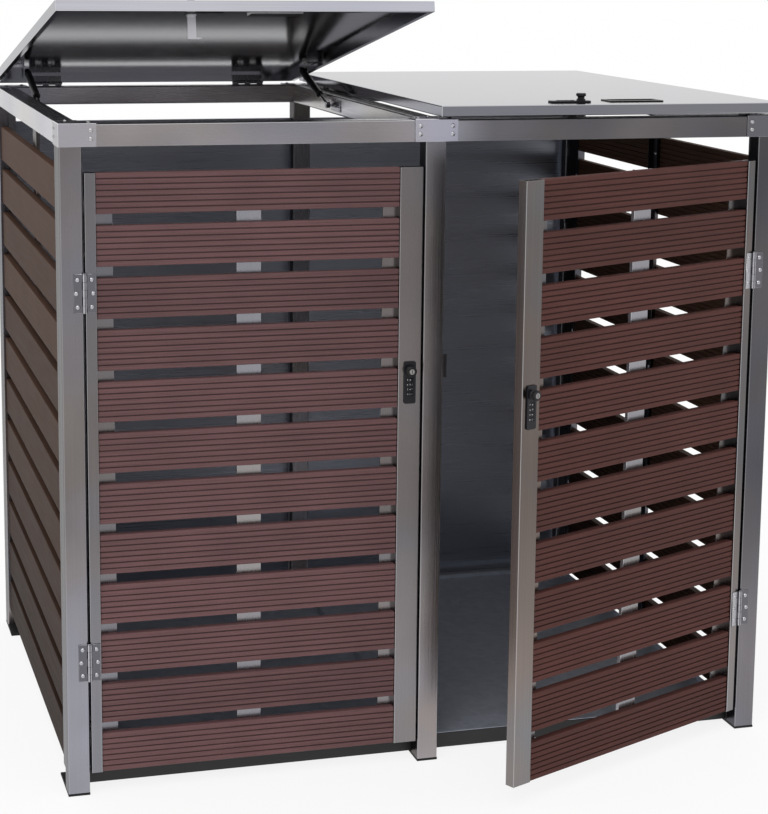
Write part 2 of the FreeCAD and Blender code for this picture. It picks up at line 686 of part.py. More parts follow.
lid_leaf_down = dict(axis=(1, 0, -1), turn="180")
lid_leaf_up = dict(axis=(0, 1, 0), turn="-90")
door_hinge_levels = ("lower_hinge_height", "upper_hinge_height")
frame_leaves = []
pins = []
door_leaf_spots = []
lid_leaf_spots = []
for side, hand in (("left", -1), ("right", 1)):
    axis_x = "%d * door_axis_x" % hand
    turn = "180" if hand < 0 else "0"
    for level, height in zip(("lower", "upper"), door_hinge_levels):
        name = "%s_door_%s" % (side, level)
        leaf = hinge_leaf(name + "_frame_leaf", "door_leaf_width", 0)
        frame_leaves.append(placed(leaf, at(axis_x, "door_axis_y", height, axis=(0, 1, 0), turn=turn)))
        pins.append(placed(hinge_pin(name + "_pin"), at(axis_x, "door_axis_y", height)))
        for out, rise in leaf_points("door_leaf_width"):
            x = hand * (number("door_axis_x") + out)
            point = Vector(x, number("front_y - leaf_plate"), number(height) + rise)
            door_leaf_spots.append((point, Vector(0, -1, 0)))
    for end in (-1, 1):
        name = "%s_lid_%s" % (side, "left" if end < 0 else "right")
        middle = "%d * lid_centre + %d * lid_hinge_offset" % (hand, end)
        leaf = hinge_leaf(name + "_frame_leaf", "lid_leaf_width", 0)
        frame_leaves.append(placed(leaf, at(middle, "lid_axis_y", "lid_axis_z", **lid_leaf_down)))
        pin = hinge_pin(name + "_pin")
        pins.append(placed(pin, at(middle, "lid_axis_y", "lid_axis_z", axis=(0, 1, 0), turn="90")))
        for out, rise in leaf_points("lid_leaf_width"):
            point = Vector(number(middle) + rise, number("rear_y + leaf_plate"), number("lid_axis_z") - out)
            lid_leaf_spots.append((point, Vector(0, 1, 0)))

frame_leaf_group = group("frame_leaf_plates", frame_leaves)
node(group("hinge_pin_rods", pins), "hinge_pins")

# Gas springs. The lower eye turns on a stud on the rail, the upper one on the lid.

def spring_state(angle):
    """Length and tilt of a spring from its lower to its upper pivot, at a lid's angle."""
    out, rise = number("spring_head_distance"), number("spring_head_rise")
    swing = math.radians(angle)
    head_y = -out * math.cos(swing) + rise * math.sin(swing)
    head_z = out * math.sin(swing) + rise * math.cos(swing)
    foot_y = -number("spring_foot_distance")
    foot_z = number("rail_top - spring_foot_drop - lid_axis_z")
    length = math.hypot(head_y - foot_y, head_z - foot_z)
    return length, math.degrees(math.atan2(head_z - foot_z, head_y - foot_y))


def frame_bracket(name, face, way):
    """Plate on a rail with the lower stud. way is +1 where the spring is to its right."""
    foot_y = "lid_axis_y - spring_foot_distance"
    foot_z = "rail_top - spring_foot_drop"
    def x_from(near, far):
        if way > 0:
            return "%s + %s" % (face, near), "%s + %s" % (face, far)
        return "%s - (%s)" % (face, far), "%s - (%s)" % (face, near)
    plate = block(name + "_plate", x_from("0", "spring_plate"),
                  (foot_y + " - spring_foot_tail", foot_y + " + spring_plate_half"),
                  (foot_z + " - spring_plate_half", foot_z + " + spring_plate_half"))
    low, high = x_from("0", "spring_offset + 0.5 * eye_width + open_pivot_gap")
    stud = bar(name + "_stud", "x", "stud_radius", low, high, (foot_y, foot_z))
    low, high = x_from("spring_offset + 0.5 * eye_width + open_pivot_gap",
                       "spring_offset + 0.5 * eye_width + open_pivot_gap + stud_clip")
    clip = bar(name + "_clip", "x", "stud_flange_radius", low, high, (foot_y, foot_z))
    return fused(name, [plate, stud, clip])


def bracket_plate_spots(face, way):
    pivot_y = number("lid_axis_y - spring_foot_distance")
    x = number(face) + way * number("spring_plate")
    z = number("rail_top - spring_foot_drop")
    return [(Vector(x, pivot_y - number(ahead), z), Vector(way, 0, 0))
            for ahead in ("near_foot_screw", "far_foot_screw")]


frame_brackets = []
spring_spots = []
SPRINGS = []
for side, hand in (("left", -1), ("right", 1)):
    for place, way in (("left", 1), ("right", -1)):
        outer = (place == side)
        face = "%d * %s" % (hand, "inner_x" if outer else "half_post")
        name = "%s_lid_%s_spring" % (side, place)
        SPRINGS.append((name, side, face, way))
        frame_brackets.append(frame_bracket(name + "_foot", face, way))
        spring_spots += bracket_plate_spots(face, way)
spring_frame_brackets = group("spring_foot_brackets", frame_brackets)


def spring_rod(name):
    """Eye at the origin, rod and piston along local +X."""
    eye = bar(name + "_eye", "y", "eye_radius", "-0.5 * eye_width", "0.5 * eye_width", CENTRED)
    shaft = bar(name + "_shaft", "x", "spring_rod_radius", "0.5 * eye_radius", "spring_rod_length", CENTRED)
    piston = bar(name + "_piston", "x", "spring_cylinder_radius - spring_cylinder_wall - spring_slack",
                 "spring_rod_length - spring_piston_length", "spring_rod_length", CENTRED)
    bore = bar(name + "_bore", "y", "stud_radius + pin_clearance", "-eye_width", "eye_width", CENTRED)
    return cut(name, fused(name + "_solid", [eye, shaft, piston]), [bore])


def spring_cylinder(name, way):
    """Upper eye at the origin, cylinder along local -X, and the stud that meets the lid."""
    start = "-(spring_neck + spring_cylinder_length)"
    shell = bar(name + "_shell", "x", "spring_cylinder_radius", start, "-spring_neck", CENTRED)
    neck = bar(name + "_neck", "x", "spring_rod_radius + spring_collar", "-spring_neck - overlap",
               "-0.5 * eye_radius", CENTRED)
    eye = bar(name + "_eye", "y", "eye_radius", "-0.5 * eye_width", "0.5 * eye_width", CENTRED)
    end = "spring_offset - spring_plate_gap - spring_plate - open_pivot_gap"
    low, high = ("0", end) if way > 0 else ("-(%s)" % end, "0")
    stud = bar(name + "_stud", "y", "stud_radius", low, high, CENTRED)
    inside = bar(name + "_inside", "x", "spring_cylinder_radius - spring_cylinder_wall",
                 start + " + spring_gland", "-spring_neck - spring_cap", CENTRED)
    mouth = bar(name + "_mouth", "x", "spring_rod_radius + spring_slack", start + " - cut_past",
                start + " + spring_gland + cut_past", CENTRED)
    return cut(name, fused(name + "_solid", [shell, neck, eye, stud]), [inside, mouth])


for name, side, face, way in SPRINGS:
    length, tilt = spring_state(number("%s_lid_angle" % side))
    x = "%s + %d * spring_offset" % (face, way)
    foot = at(x, "lid_axis_y - spring_foot_distance", "rail_top - spring_foot_drop",
              axis=(1, 0, 0), turn="%.9f" % tilt)
    along = " * " + at(turn="90")
    node(placed(spring_rod(name + "_rod_piece"), foot + along), name + "_rod")
    head = foot + along + " * " + at("%.9f" % length)
    node(placed(spring_cylinder(name + "_cylinder_piece", way), head), name + "_cylinder")

# Keepers for the door locks: angles on the middle post, behind the doors' free edges.

keepers = []
for side, hand in (("left", 1), ("right", -1)):
    z = ("door_lock_height - 0.5 * keeper_height", "door_lock_height + 0.5 * keeper_height")
    back = "front_y + door_back - knuckle_radius + keeper_gap"
    stop = block(side + "_keeper_stop", handed(hand, "-(half_post + keeper_reach)", "-half_post"),
                 (back, back + " + keeper_plate"), z)
    foot = block(side + "_keeper_foot", handed(hand, "-(half_post + keeper_plate)", "-half_post"),
                 (back, "half_post"), z)
    keepers.append(fused(side + "_keeper", [stop, foot]))
node(group("keeper_angles", keepers), "lock_keepers")

# The frame's pieces with their screw holes, and the screws.

board_spots = side_board_spots()
sheet_spots = bracket_spots()
bracket_holes = holes("bracket_holes", sheet_spots, "short_screw")
door_leaf_holes = holes("door_leaf_holes", door_leaf_spots, "short_screw")
lid_leaf_holes = holes("lid_leaf_holes", lid_leaf_spots, "short_screw")
spring_holes = holes("spring_holes", spring_spots, "short_screw")
board_holes = holes("side_board_holes", board_spots, "board_screw")

node(cut("front_posts_drilled", front_posts, [door_leaf_holes, bracket_holes]), "front_posts")
node(cut("rear_posts_drilled", rear_posts, [bracket_holes]), "rear_posts")
node(cut("front_rails_drilled", front_rails, [bracket_holes]), "front_rails")
node(cut("rear_rails_drilled", rear_rails, [bracket_holes, lid_leaf_holes]), "rear_rails")
node(cut("depth_rails_drilled", depth_rails, [bracket_holes, spring_holes]), "depth_rails")
node(cut("brackets_drilled", corner_brackets, [bracket_holes]), "corner_brackets")
node(cut("side_frames_drilled", side_frames, [board_holes]), "side_frames")
node(cut("frame_leaves_drilled", frame_leaf_group, [door_leaf_holes, lid_leaf_holes]), "hinge_frame_leaves")
node(cut("spring_feet_drilled", spring_frame_brackets, [spring_holes]), "spring_frame_brackets")
for side, planks in side_boards.items():
    node(cut("%s_side_boards_drilled" % side, planks, [board_holes]), "%s_side_boards" % side)
short_spots = sheet_spots + door_leaf_spots + lid_leaf_spots + spring_spots
node(screws("frame_screw_set", [(short_spots, "short_screw"), (board_spots, "board_screw")]), "frame_screws")

# Combination locks. Local +X runs from the wheels to the knob, +Z out of the face plate,
# and the knob's axis is the origin.

def lock_case(name):
    plate = block(name + "_plate", ("lock_end - lock_length", "lock_end"),
                  ("-0.5 * lock_width", "0.5 * lock_width"), ("0", "lock_plate"))
    rounded = doc.addObject("Part::Fillet", name + "_rounded")
    rounded.Base = plate
    doc.recompute()
    corners = [index for index, edge in enumerate(plate.Shape.Edges, start=1)
               if abs(edge.tangentAt(edge.FirstParameter).z) > 0.9]
    rounded.Edges = [(index, number("lock_corner"), number("lock_corner")) for index in corners]
    body_x = ("-lock_middle - 0.5 * lock_body_length", "0.5 * lock_body_length - lock_middle")
    body = block(name + "_body", body_x, ("-0.5 * lock_body_width", "0.5 * lock_body_width"),
                 ("-lock_body_depth", "0"))
    first = "-dial_start + 0.5 * dial_width + dial_clearance"
    last = "-dial_start - (dial_count - 1) * dial_pitch - 0.5 * dial_width - dial_clearance"
    cavity = block(name + "_cavity", (last, first), ("-dial_reach", "dial_reach"),
                   ("dial_axis - dial_reach", "0"))
    bore = bar(name + "_bore", "z", "spindle_radius + spindle_clearance", "-lock_body_depth - cut_past",
               "lock_plate + cut_past", CENTRED)
    windows = []
    for step in range(int(number("dial_count"))):
        centre = "-dial_start - %d * dial_pitch" % step
        half = "(0.5 * dial_width + dial_clearance)"
        x = ("%s - %s" % (centre, half), "%s + %s" % (centre, half))
        windows.append(block(name + "_recess", x, ("-dial_reach", "dial_reach"), ("-cut_past", "window_lip")))
        windows.append(block(name + "_window", x, ("-window_reach", "window_reach"),
                             ("-cut_past", "lock_plate + cut_past")))
    shell = cut(name + "_shell", fused(name + "_solid", [rounded, body]), [cavity, bore] + windows)
    axle = bar(name + "_axle", "x", "axle_radius", last + " - overlap", first + " + overlap",
               ("0", "dial_axis"))
    return fused(name, [shell, axle])


def lock_dials(name):
    """Ten-sided wheels on one axle along local X."""
    wheels = []
    for step in range(int(number("dial_count"))):
        wheel = doc.addObject("Part::Prism", name + "_wheel")
        wheel.Polygon = 10
        wheel.setExpression("Circumradius", bound("dial_radius"))
        wheel.setExpression("Height", bound("dial_width"))
        place = "-dial_start - %d * dial_pitch - 0.5 * dial_width" % step
        placed(wheel, at(place, "0", "dial_axis", axis=(0, 1, 0), turn="90") + " * " + at(turn="18"))
        wheels.append(wheel)
    low = "-dial_start - dial_count * dial_pitch"
    bore = bar(name + "_bore", "x", "axle_radius + spindle_clearance", low, "0", ("0", "dial_axis"))
    return cut(name, group(name + "_wheels", wheels), [bore])


def knob(name):
    """Mushroom knob turned about local Z, from its foot on the face plate up."""
    body = doc.addObject("PartDesign::Body", name)
    outline = body.newObject("Sketcher::SketchObject", name + "_outline")
    upright = [plane for plane in body.Origin.OriginFeatures if plane.Role == "XZ_Plane"][0]
    outline.AttachmentSupport = [(upright, "")]
    outline.MapMode = "FlatFace"
    head, waist, tall = number("knob_radius"), number("knob_waist"), number("knob_height")
    base = number("lock_plate")
    foot, shoulder, crown = number("knob_foot"), head - number("knob_chamfer"), number("knob_crown")
    profile = [(0, foot), (shoulder, foot), (shoulder, 0.15 * tall), (waist, 0.3 * tall),
               (waist, 0.5 * tall), (head, 0.65 * tall), (head, tall - crown), (head - crown, tall)]
    points = [Vector(out, base + up) for out, up in profile]
    points.append(Vector(0, base + tall))
    for start, end in zip(points, points[1:] + points[:1]):
        outline.addGeometry(Part.LineSegment(start, end))
    turned = body.newObject("PartDesign::Revolution", name + "_turned")
    turned.Profile = outline
    turned.ReferenceAxis = (outline, ["V_Axis"])
    turned.Angle = 360
    body.Tip = turned
    return body


CAM_SPAN = ("-0.5 * cam_width", "0.5 * cam_width")
cam_depth = "(door_back - knuckle_radius + keeper_gap + keeper_plate + cam_gap)"


def door_knob(name):
    """Knob, spindle through the stile and the cam behind it, which hangs down unlocked."""
    near = "-" + cam_depth
    far = near + " - cam_plate"
    spindle = bar(name + "_spindle", "z", "spindle_radius", near + " - overlap", "lock_plate + overlap",
                  CENTRED)
    arm = block(name + "_cam", ("-cam_reach", "0.5 * cam_width"), CAM_SPAN, (far, near))
    return fused(name, [knob(name + "_head"), spindle, arm])


def lid_knob(name):
    """Knob, spindle and the latch bar whose hook goes under the front rail's back leg."""
    drop = "lid_top"
    seat = "-lock_body_depth - cam_gap"
    spindle = bar(name + "_spindle", "z", "spindle_radius", seat, "lock_plate + overlap", CENTRED)
    head = block(name + "_plate", CAM_SPAN, CAM_SPAN, (seat + " - cam_plate", seat))
    half = "0.5 * cam_plate"
    low = "hook_top - cam_plate - %s" % drop
    latch = block(name + "_latch", CAM_SPAN, ("-" + half, half), (low, seat))
    hook = block(name + "_hook", ("-0.5 * cam_width", "0.5 * cam_width + hook_reach"), ("-" + half, half),
                 (low, low + " + cam_plate"))
    return fused(name, [knob(name + "_head"), spindle, head, latch, hook])


# Doors, each in its own frame: the origin is on the hinge axis at ground level, and the
# door lies along +X for the left one and along -X for the right one.

def stile(name, hand, box_span, flange_span):
    z = ("board_bottom", "board_top")
    box = tube(name + "_box", handed(hand, *box_span), ("door_front", "door_flange"), z, "z")
    flange = block(name + "_flange", handed(hand, *flange_span), ("door_flange", "door_back"), z)
    return fused(name, [box, flange])


def door_bar(name, hand):
    z = ("board_bottom", "board_top")
    low, high = "door_boards_middle - 0.5 * bar_width", "door_boards_middle + 0.5 * bar_width"
    deep = ("door_flange", "door_flange + bar_depth")
    return fused(name, [
        block(name + "_web", handed(hand, low, high), ("door_flange", "door_flange + tube_wall"), z),
        block(name + "_near_leg", handed(hand, low, low + " + tube_wall"), deep, z),
        block(name + "_far_leg", handed(hand, high + " - tube_wall", high), deep, z)])


def door_spots(hand):
    flange, web = number("door_back"), number("door_flange + tube_wall")
    columns = [(number("door_boards_start + 0.5 * hinge_flange_reach"), flange),
               (number("door_boards_middle"), web),
               (number("door_boards_end - 0.5 * lock_flange_reach"), flange)]
    return [(Vector(hand * x, y, z), Vector(0, 1, 0)) for x, y in columns for z in board_heights()]


def door(side, hand):
    frame = at("%d * door_axis_x" % -hand, "door_axis_y", "0", turn="%d * %s_door_angle" % (-hand, side))
    name = side + "_door"
    slat_spots = door_spots(hand)
    slat_holes = holes(name + "_board_holes", slat_spots, "board_screw")
    leaf_spots = []
    leaves = []
    for level, height in zip(("lower", "upper"), door_hinge_levels):
        leaf = hinge_leaf("%s_%s_leaf" % (name, level), "door_leaf_width", 1)
        turn = "0" if hand > 0 else "180"
        leaves.append(placed(leaf, at("0", "0", height, axis=(0, 1, 0), turn=turn)))
        for out, rise in leaf_points("door_leaf_width"):
            point = Vector(hand * out, number("door_front - leaf_plate"), number(height) + rise)
            leaf_spots.append((point, Vector(0, -1, 0)))
    leaf_holes = holes(name + "_leaf_holes", leaf_spots, "short_screw")

    hinge_stile = stile(name + "_hinge_stile_raw", hand, ("door_start", "door_boards_start"),
                        ("door_start", "door_boards_start + hinge_flange_reach"))
    lock_stile = stile(name + "_lock_stile_raw", hand, ("door_boards_end", "door_end"),
                       ("door_boards_end - lock_flange_reach", "door_end"))
    planks = boards(name + "_board_stack", "door_boards_end - door_boards_start - 2 * board_end_gap")
    start = handed(hand, "door_boards_start + board_end_gap", "door_boards_end - board_end_gap")[0]
    placed(planks, at(start, "door_boards_front", "board_bottom"))

    lock_x = "%d * (door_end - 0.5 * lock_stile_width)" % hand
    wheels_low = "door_lock_height - lock_middle - 0.5 * lock_body_length - lock_cutout_gap"
    wheels_high = "door_lock_height - lock_middle + 0.5 * lock_body_length + lock_cutout_gap"
    half = "(0.5 * lock_body_width + lock_cutout_gap)"
    opening = block(name + "_lock_opening", (lock_x + " - " + half, lock_x + " + " + half),
                    ("0", "door_front + tube_wall + cut_past"), (wheels_low, wheels_high))
    spindle_hole = bar(name + "_spindle_hole", "y", "spindle_radius + spindle_hole_gap", "0",
                       "door_back + cut_past", (lock_x, "door_lock_height"))

    node(placed(cut(name + "_hinge_stile_drilled", hinge_stile, [leaf_holes, slat_holes]), frame),
         name + "_hinge_stile")
    node(placed(cut(name + "_lock_stile_drilled", lock_stile, [slat_holes, opening, spindle_hole]), frame),
         name + "_lock_stile")
    node(placed(cut(name + "_bar_drilled", door_bar(name + "_bar_raw", hand), [slat_holes]), frame),
         name + "_centre_bar")
    node(placed(cut(name + "_boards_drilled", planks, [slat_holes]), frame), name + "_boards")
    node(placed(cut(name + "_leaves_drilled", group(name + "_leaves", leaves), [leaf_holes]), frame),
         name + "_hinge_leaves")
    screw_set = screws(name + "_screw_set", [(leaf_spots, "short_screw"), (slat_spots, "board_screw")])
    node(placed(screw_set, frame), name + "_screws")

    # The lock's +X stands up the stile and its +Z looks out of the door.
    lock = frame + " * " + at(lock_x, "door_front", "door_lock_height", axis=(0, 1, 0), turn="-90")
    lock += " * " + at(axis=(1, 0, 0), turn="90")
    node(placed(lock_case(name + "_lock_body"), lock), name + "_lock_case")
    node(placed(door_knob(name + "_lock_turn"), lock), name + "_lock_knob")
    node(placed(lock_dials(name + "_lock_wheels"), lock), name + "_lock_dials")


door("left", 1)
door("right", -1)

# Lids, each in its own frame: the origin is on the hinge axis at the lid's middle.

def lid_pan(name, lock_opening, handle_opening):
    half = "0.5 * lid_width"
    outside = block(name + "_outside", ("-" + half, half), ("lid_front", "lid_back"),
                    ("lid_bottom", "lid_top"))
    inner, back = half + " - lid_sheet", "lid_back - lid_sheet"
    hollow = block(name + "_hollow", ("-(%s)" % inner, inner), ("lid_front + lid_sheet", back),
                   ("lid_bottom + lid_sheet", "lid_under"))
    mouth = block(name + "_mouth", ("-(%s - lid_hem)" % inner, inner + " - lid_hem"),
                  ("lid_front + lid_sheet + lid_hem", back),
                  ("lid_bottom - cut_past", "lid_bottom + lid_sheet"))
    return cut(name, outside, [hollow, mouth, lock_opening, handle_opening])


def lid_handle(name):
    """Flush pull: a rim on the lid, and a cup whose front edge is roofed for the fingers."""
    x, y = "handle_offset", "handle_y"

    def around(length, width):
        return (("%s - 0.5 * (%s)" % (x, length), "%s + 0.5 * (%s)" % (x, length)),
                ("%s - 0.5 * (%s)" % (y, width), "%s + 0.5 * (%s)" % (y, width)))

    cup_length, cup_width = "handle_length - 2 * handle_rim", "handle_width - 2 * handle_rim"
    room = around(cup_length + " - 2 * handle_wall", cup_width + " - 2 * handle_wall")
    back = room[1][1]
    floor = "lid_top - handle_depth"
    rim = block(name + "_rim", *around("handle_length", "handle_width"),
                ("lid_top", "lid_top + handle_plate"))
    cup = block(name + "_cup", *around(cup_length, cup_width), (floor, "lid_top + 0.5 * handle_plate"))
    hollow = block(name + "_room", *room, (floor + " + handle_wall", "lid_top"))
    mouth = block(name + "_mouth", room[0], (back + " - handle_mouth", back),
                  ("lid_top - cut_past", "lid_top + handle_plate + cut_past"))
    return cut(name, fused(name + "_solid", [rim, cup]), [hollow, mouth])


def lid_spring_bracket(name, face, centre, way):
    """Angle under the lid: a flange on the sheet and a plate beside the spring's upper eye."""
    near = "%s + %d * spring_plate_gap - (%s)" % (face, way, centre)
    far = "%s + %d * (spring_plate_gap + spring_plate) - (%s)" % (face, way, centre)
    out = "%s - %d * spring_flange_reach - (%s)" % (face, way, centre)
    y = ("-spring_head_distance - spring_head_half", "-spring_head_distance + spring_head_half")
    plate_x = (near, far) if way > 0 else (far, near)
    flange_x = (out, far) if way > 0 else (far, out)
    return fused(name, [
        block(name + "_plate", plate_x, y, ("spring_head_rise - spring_plate_half", "lid_under")),
        block(name + "_flange", flange_x, y, ("lid_under - spring_plate", "lid_under"))])


def lid(side, hand):
    name = side + "_lid"
    centre = "%d * lid_centre" % hand
    frame = at(centre, "lid_axis_y", "lid_axis_z", axis=(1, 0, 0), turn="-%s_lid_angle" % side)
    knob_x = "%d * lock_middle - lid_lock_offset" % hand
    middle = "-lid_lock_offset"
    half_length = "(0.5 * lock_body_length + lock_cutout_gap)"
    half_width = "(0.5 * lock_body_width + lock_cutout_gap)"
    deep = ("lid_under - cut_past", "lid_top + cut_past")
    lock_opening = block(name + "_lock_opening", (middle + " - " + half_length, middle + " + " + half_length),
                         ("lid_lock_y - " + half_width, "lid_lock_y + " + half_width), deep)
    half_cup = "(0.5 * handle_length - handle_rim + lock_cutout_gap)"
    half_cup_y = "(0.5 * handle_width - handle_rim + lock_cutout_gap)"
    handle_opening = block(name + "_handle_opening",
                           ("handle_offset - " + half_cup, "handle_offset + " + half_cup),
                           ("handle_y - " + half_cup_y, "handle_y + " + half_cup_y), deep)
    rivets = []
    leaves = []
    for end in (-1, 1):
        leaf = hinge_leaf("%s_leaf_%s" % (name, "left" if end < 0 else "right"), "lid_leaf_width", 1)
        leaves.append(placed(leaf, at("%d * lid_hinge_offset" % end, "0", "0", **lid_leaf_up)))
        for out, rise in leaf_points("lid_leaf_width"):
            point = Vector(end * number("lid_hinge_offset") + rise, number("lid_back"), out)
            rivets.append((point, Vector(0, 1, 0)))
    rivet_holes = holes(name + "_rivet_holes", rivets, "leaf_plate + lid_sheet + cut_past")
    rivet_set = screws(name + "_rivets", [(rivets, "leaf_plate + lid_sheet")])
    drilled = cut(name + "_leaves_drilled", group(name + "_leaves", leaves), [rivet_holes])

    pan = lid_pan(name + "_pan_raw", lock_opening, handle_opening)
    node(placed(cut(name + "_pan_drilled", pan, [rivet_holes]), frame), name + "_pan")
    node(placed(lid_handle(name + "_pull"), frame), name + "_handle")
    node(placed(group(name + "_hinge_set", [drilled, rivet_set]), frame), name + "_hinge_leaves")
    brackets = [lid_spring_bracket(spring + "_head", face, centre, way)
                for spring, owner, face, way in SPRINGS if owner == side]
    node(placed(group(name + "_head_brackets", brackets), frame), name + "_spring_brackets")

    # The left lid's lock is let in the other way round, with its wheels to the right.
    lock = frame + " * " + at(knob_x, "lid_lock_y", "lid_top")
    wheels = lock + " * " + at(turn="0" if hand > 0 else "180")
    node(placed(lock_case(name + "_lock_body"), wheels), name + "_lock_case")
    node(placed(lid_knob(name + "_lock_turn"), lock), name + "_lock_knob")
    node(placed(lock_dials(name + "_lock_wheels"), wheels), name + "_lock_dials")


lid("left", -1)
lid("right", 1)

# Check and write.

doc.recompute()
for item in doc.Objects:
    if "Invalid" in item.State or "Error" in item.State:
        raise RuntimeError("%s failed: %s" % (item.Name, item.State))
for item in NODES:
    if item.Shape.isNull() or not item.Shape.isValid() or not item.Shape.Solids:
        raise RuntimeError("%s has no valid shape" % item.Label)

os.makedirs("parts", exist_ok=True)
for item in NODES:
    item.Shape.exportStep("parts/%s.step" % item.Label)
print("%d sub-parts, %d solids" % (len(NODES), sum(len(item.Shape.Solids) for item in NODES)))
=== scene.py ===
import json
import math

import bmesh
import bpy
import numpy as np
from mathutils import Matrix, Vector


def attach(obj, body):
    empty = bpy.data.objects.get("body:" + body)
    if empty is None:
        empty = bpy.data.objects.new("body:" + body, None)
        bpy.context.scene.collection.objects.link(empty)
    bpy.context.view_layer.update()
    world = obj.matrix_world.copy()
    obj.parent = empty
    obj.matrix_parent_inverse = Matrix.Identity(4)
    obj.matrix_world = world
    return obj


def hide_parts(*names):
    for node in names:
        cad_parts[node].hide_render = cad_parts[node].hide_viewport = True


# A store for two wheelie bins: stainless steel frame, boarded sides and doors, and two steel
# lids on gas springs. Metres, origin on the ground under the middle front post, +Y to the back.

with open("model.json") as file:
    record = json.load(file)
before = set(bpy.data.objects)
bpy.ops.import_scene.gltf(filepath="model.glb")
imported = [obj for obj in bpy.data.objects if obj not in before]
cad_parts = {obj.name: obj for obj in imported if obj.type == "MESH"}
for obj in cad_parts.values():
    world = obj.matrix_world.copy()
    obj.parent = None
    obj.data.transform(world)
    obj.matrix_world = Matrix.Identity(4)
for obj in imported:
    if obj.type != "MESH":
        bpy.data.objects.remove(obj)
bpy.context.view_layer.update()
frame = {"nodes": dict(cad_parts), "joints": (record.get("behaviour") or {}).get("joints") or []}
packed = frame["nodes"]
joints = {joint["name"]: joint for joint in frame["joints"]}


# Posts. Six lengths of 40 mm square tube in stainless steel, linished along their length by
# a belt, standing on plastic feet. The tube's corners are rolled to a small radius.

TUBE_CORNER = 0.003
PLATE_EDGE = 0.0004
SHARP_FOLD = math.radians(32)
SHORT_EDGE = 0.006
WELD = 0.00001
# The pale colour of the painted highlights on steel edges.
EDGE_HIGHLIGHT = "#e4e4e8"

# Noise seldom leaves the middle of its range, so tones are spread over that.
NOISE_SPAN = {"From Min": 0.3, "From Max": 0.7}


def linear(hex_colour):
    """A colour written in sRGB hex, as the linear values that a shader takes."""
    parts = [int(hex_colour[i:i + 2], 16) / 255 for i in (1, 3, 5)]
    return [p / 12.92 if p <= 0.04045 else ((p + 0.055) / 1.055) ** 2.4 for p in parts] + [1.0]


def add(tree, kind, inputs=None, **settings):
    """A node with its settings, its values, and its links where a value is another's socket.
    A socket goes by its number where several share a name, as the colours of a Mix do."""
    made = tree.nodes.new(kind)
    for name, value in settings.items():
        setattr(made, name, value)
    for name, value in (inputs or {}).items():
        if isinstance(value, bpy.types.NodeSocket):
            tree.links.new(value, made.inputs[name])
        else:
            made.inputs[name].default_value = value
    return made


def new_finish(name):
    """A material with its tree, its shader and the piece's own coordinates."""
    material = bpy.data.materials.new(name)
    material.use_nodes = True
    tree = material.node_tree
    coords = add(tree, "ShaderNodeTexCoord").outputs["Object"]
    return material, tree, tree.nodes["Principled BSDF"], coords


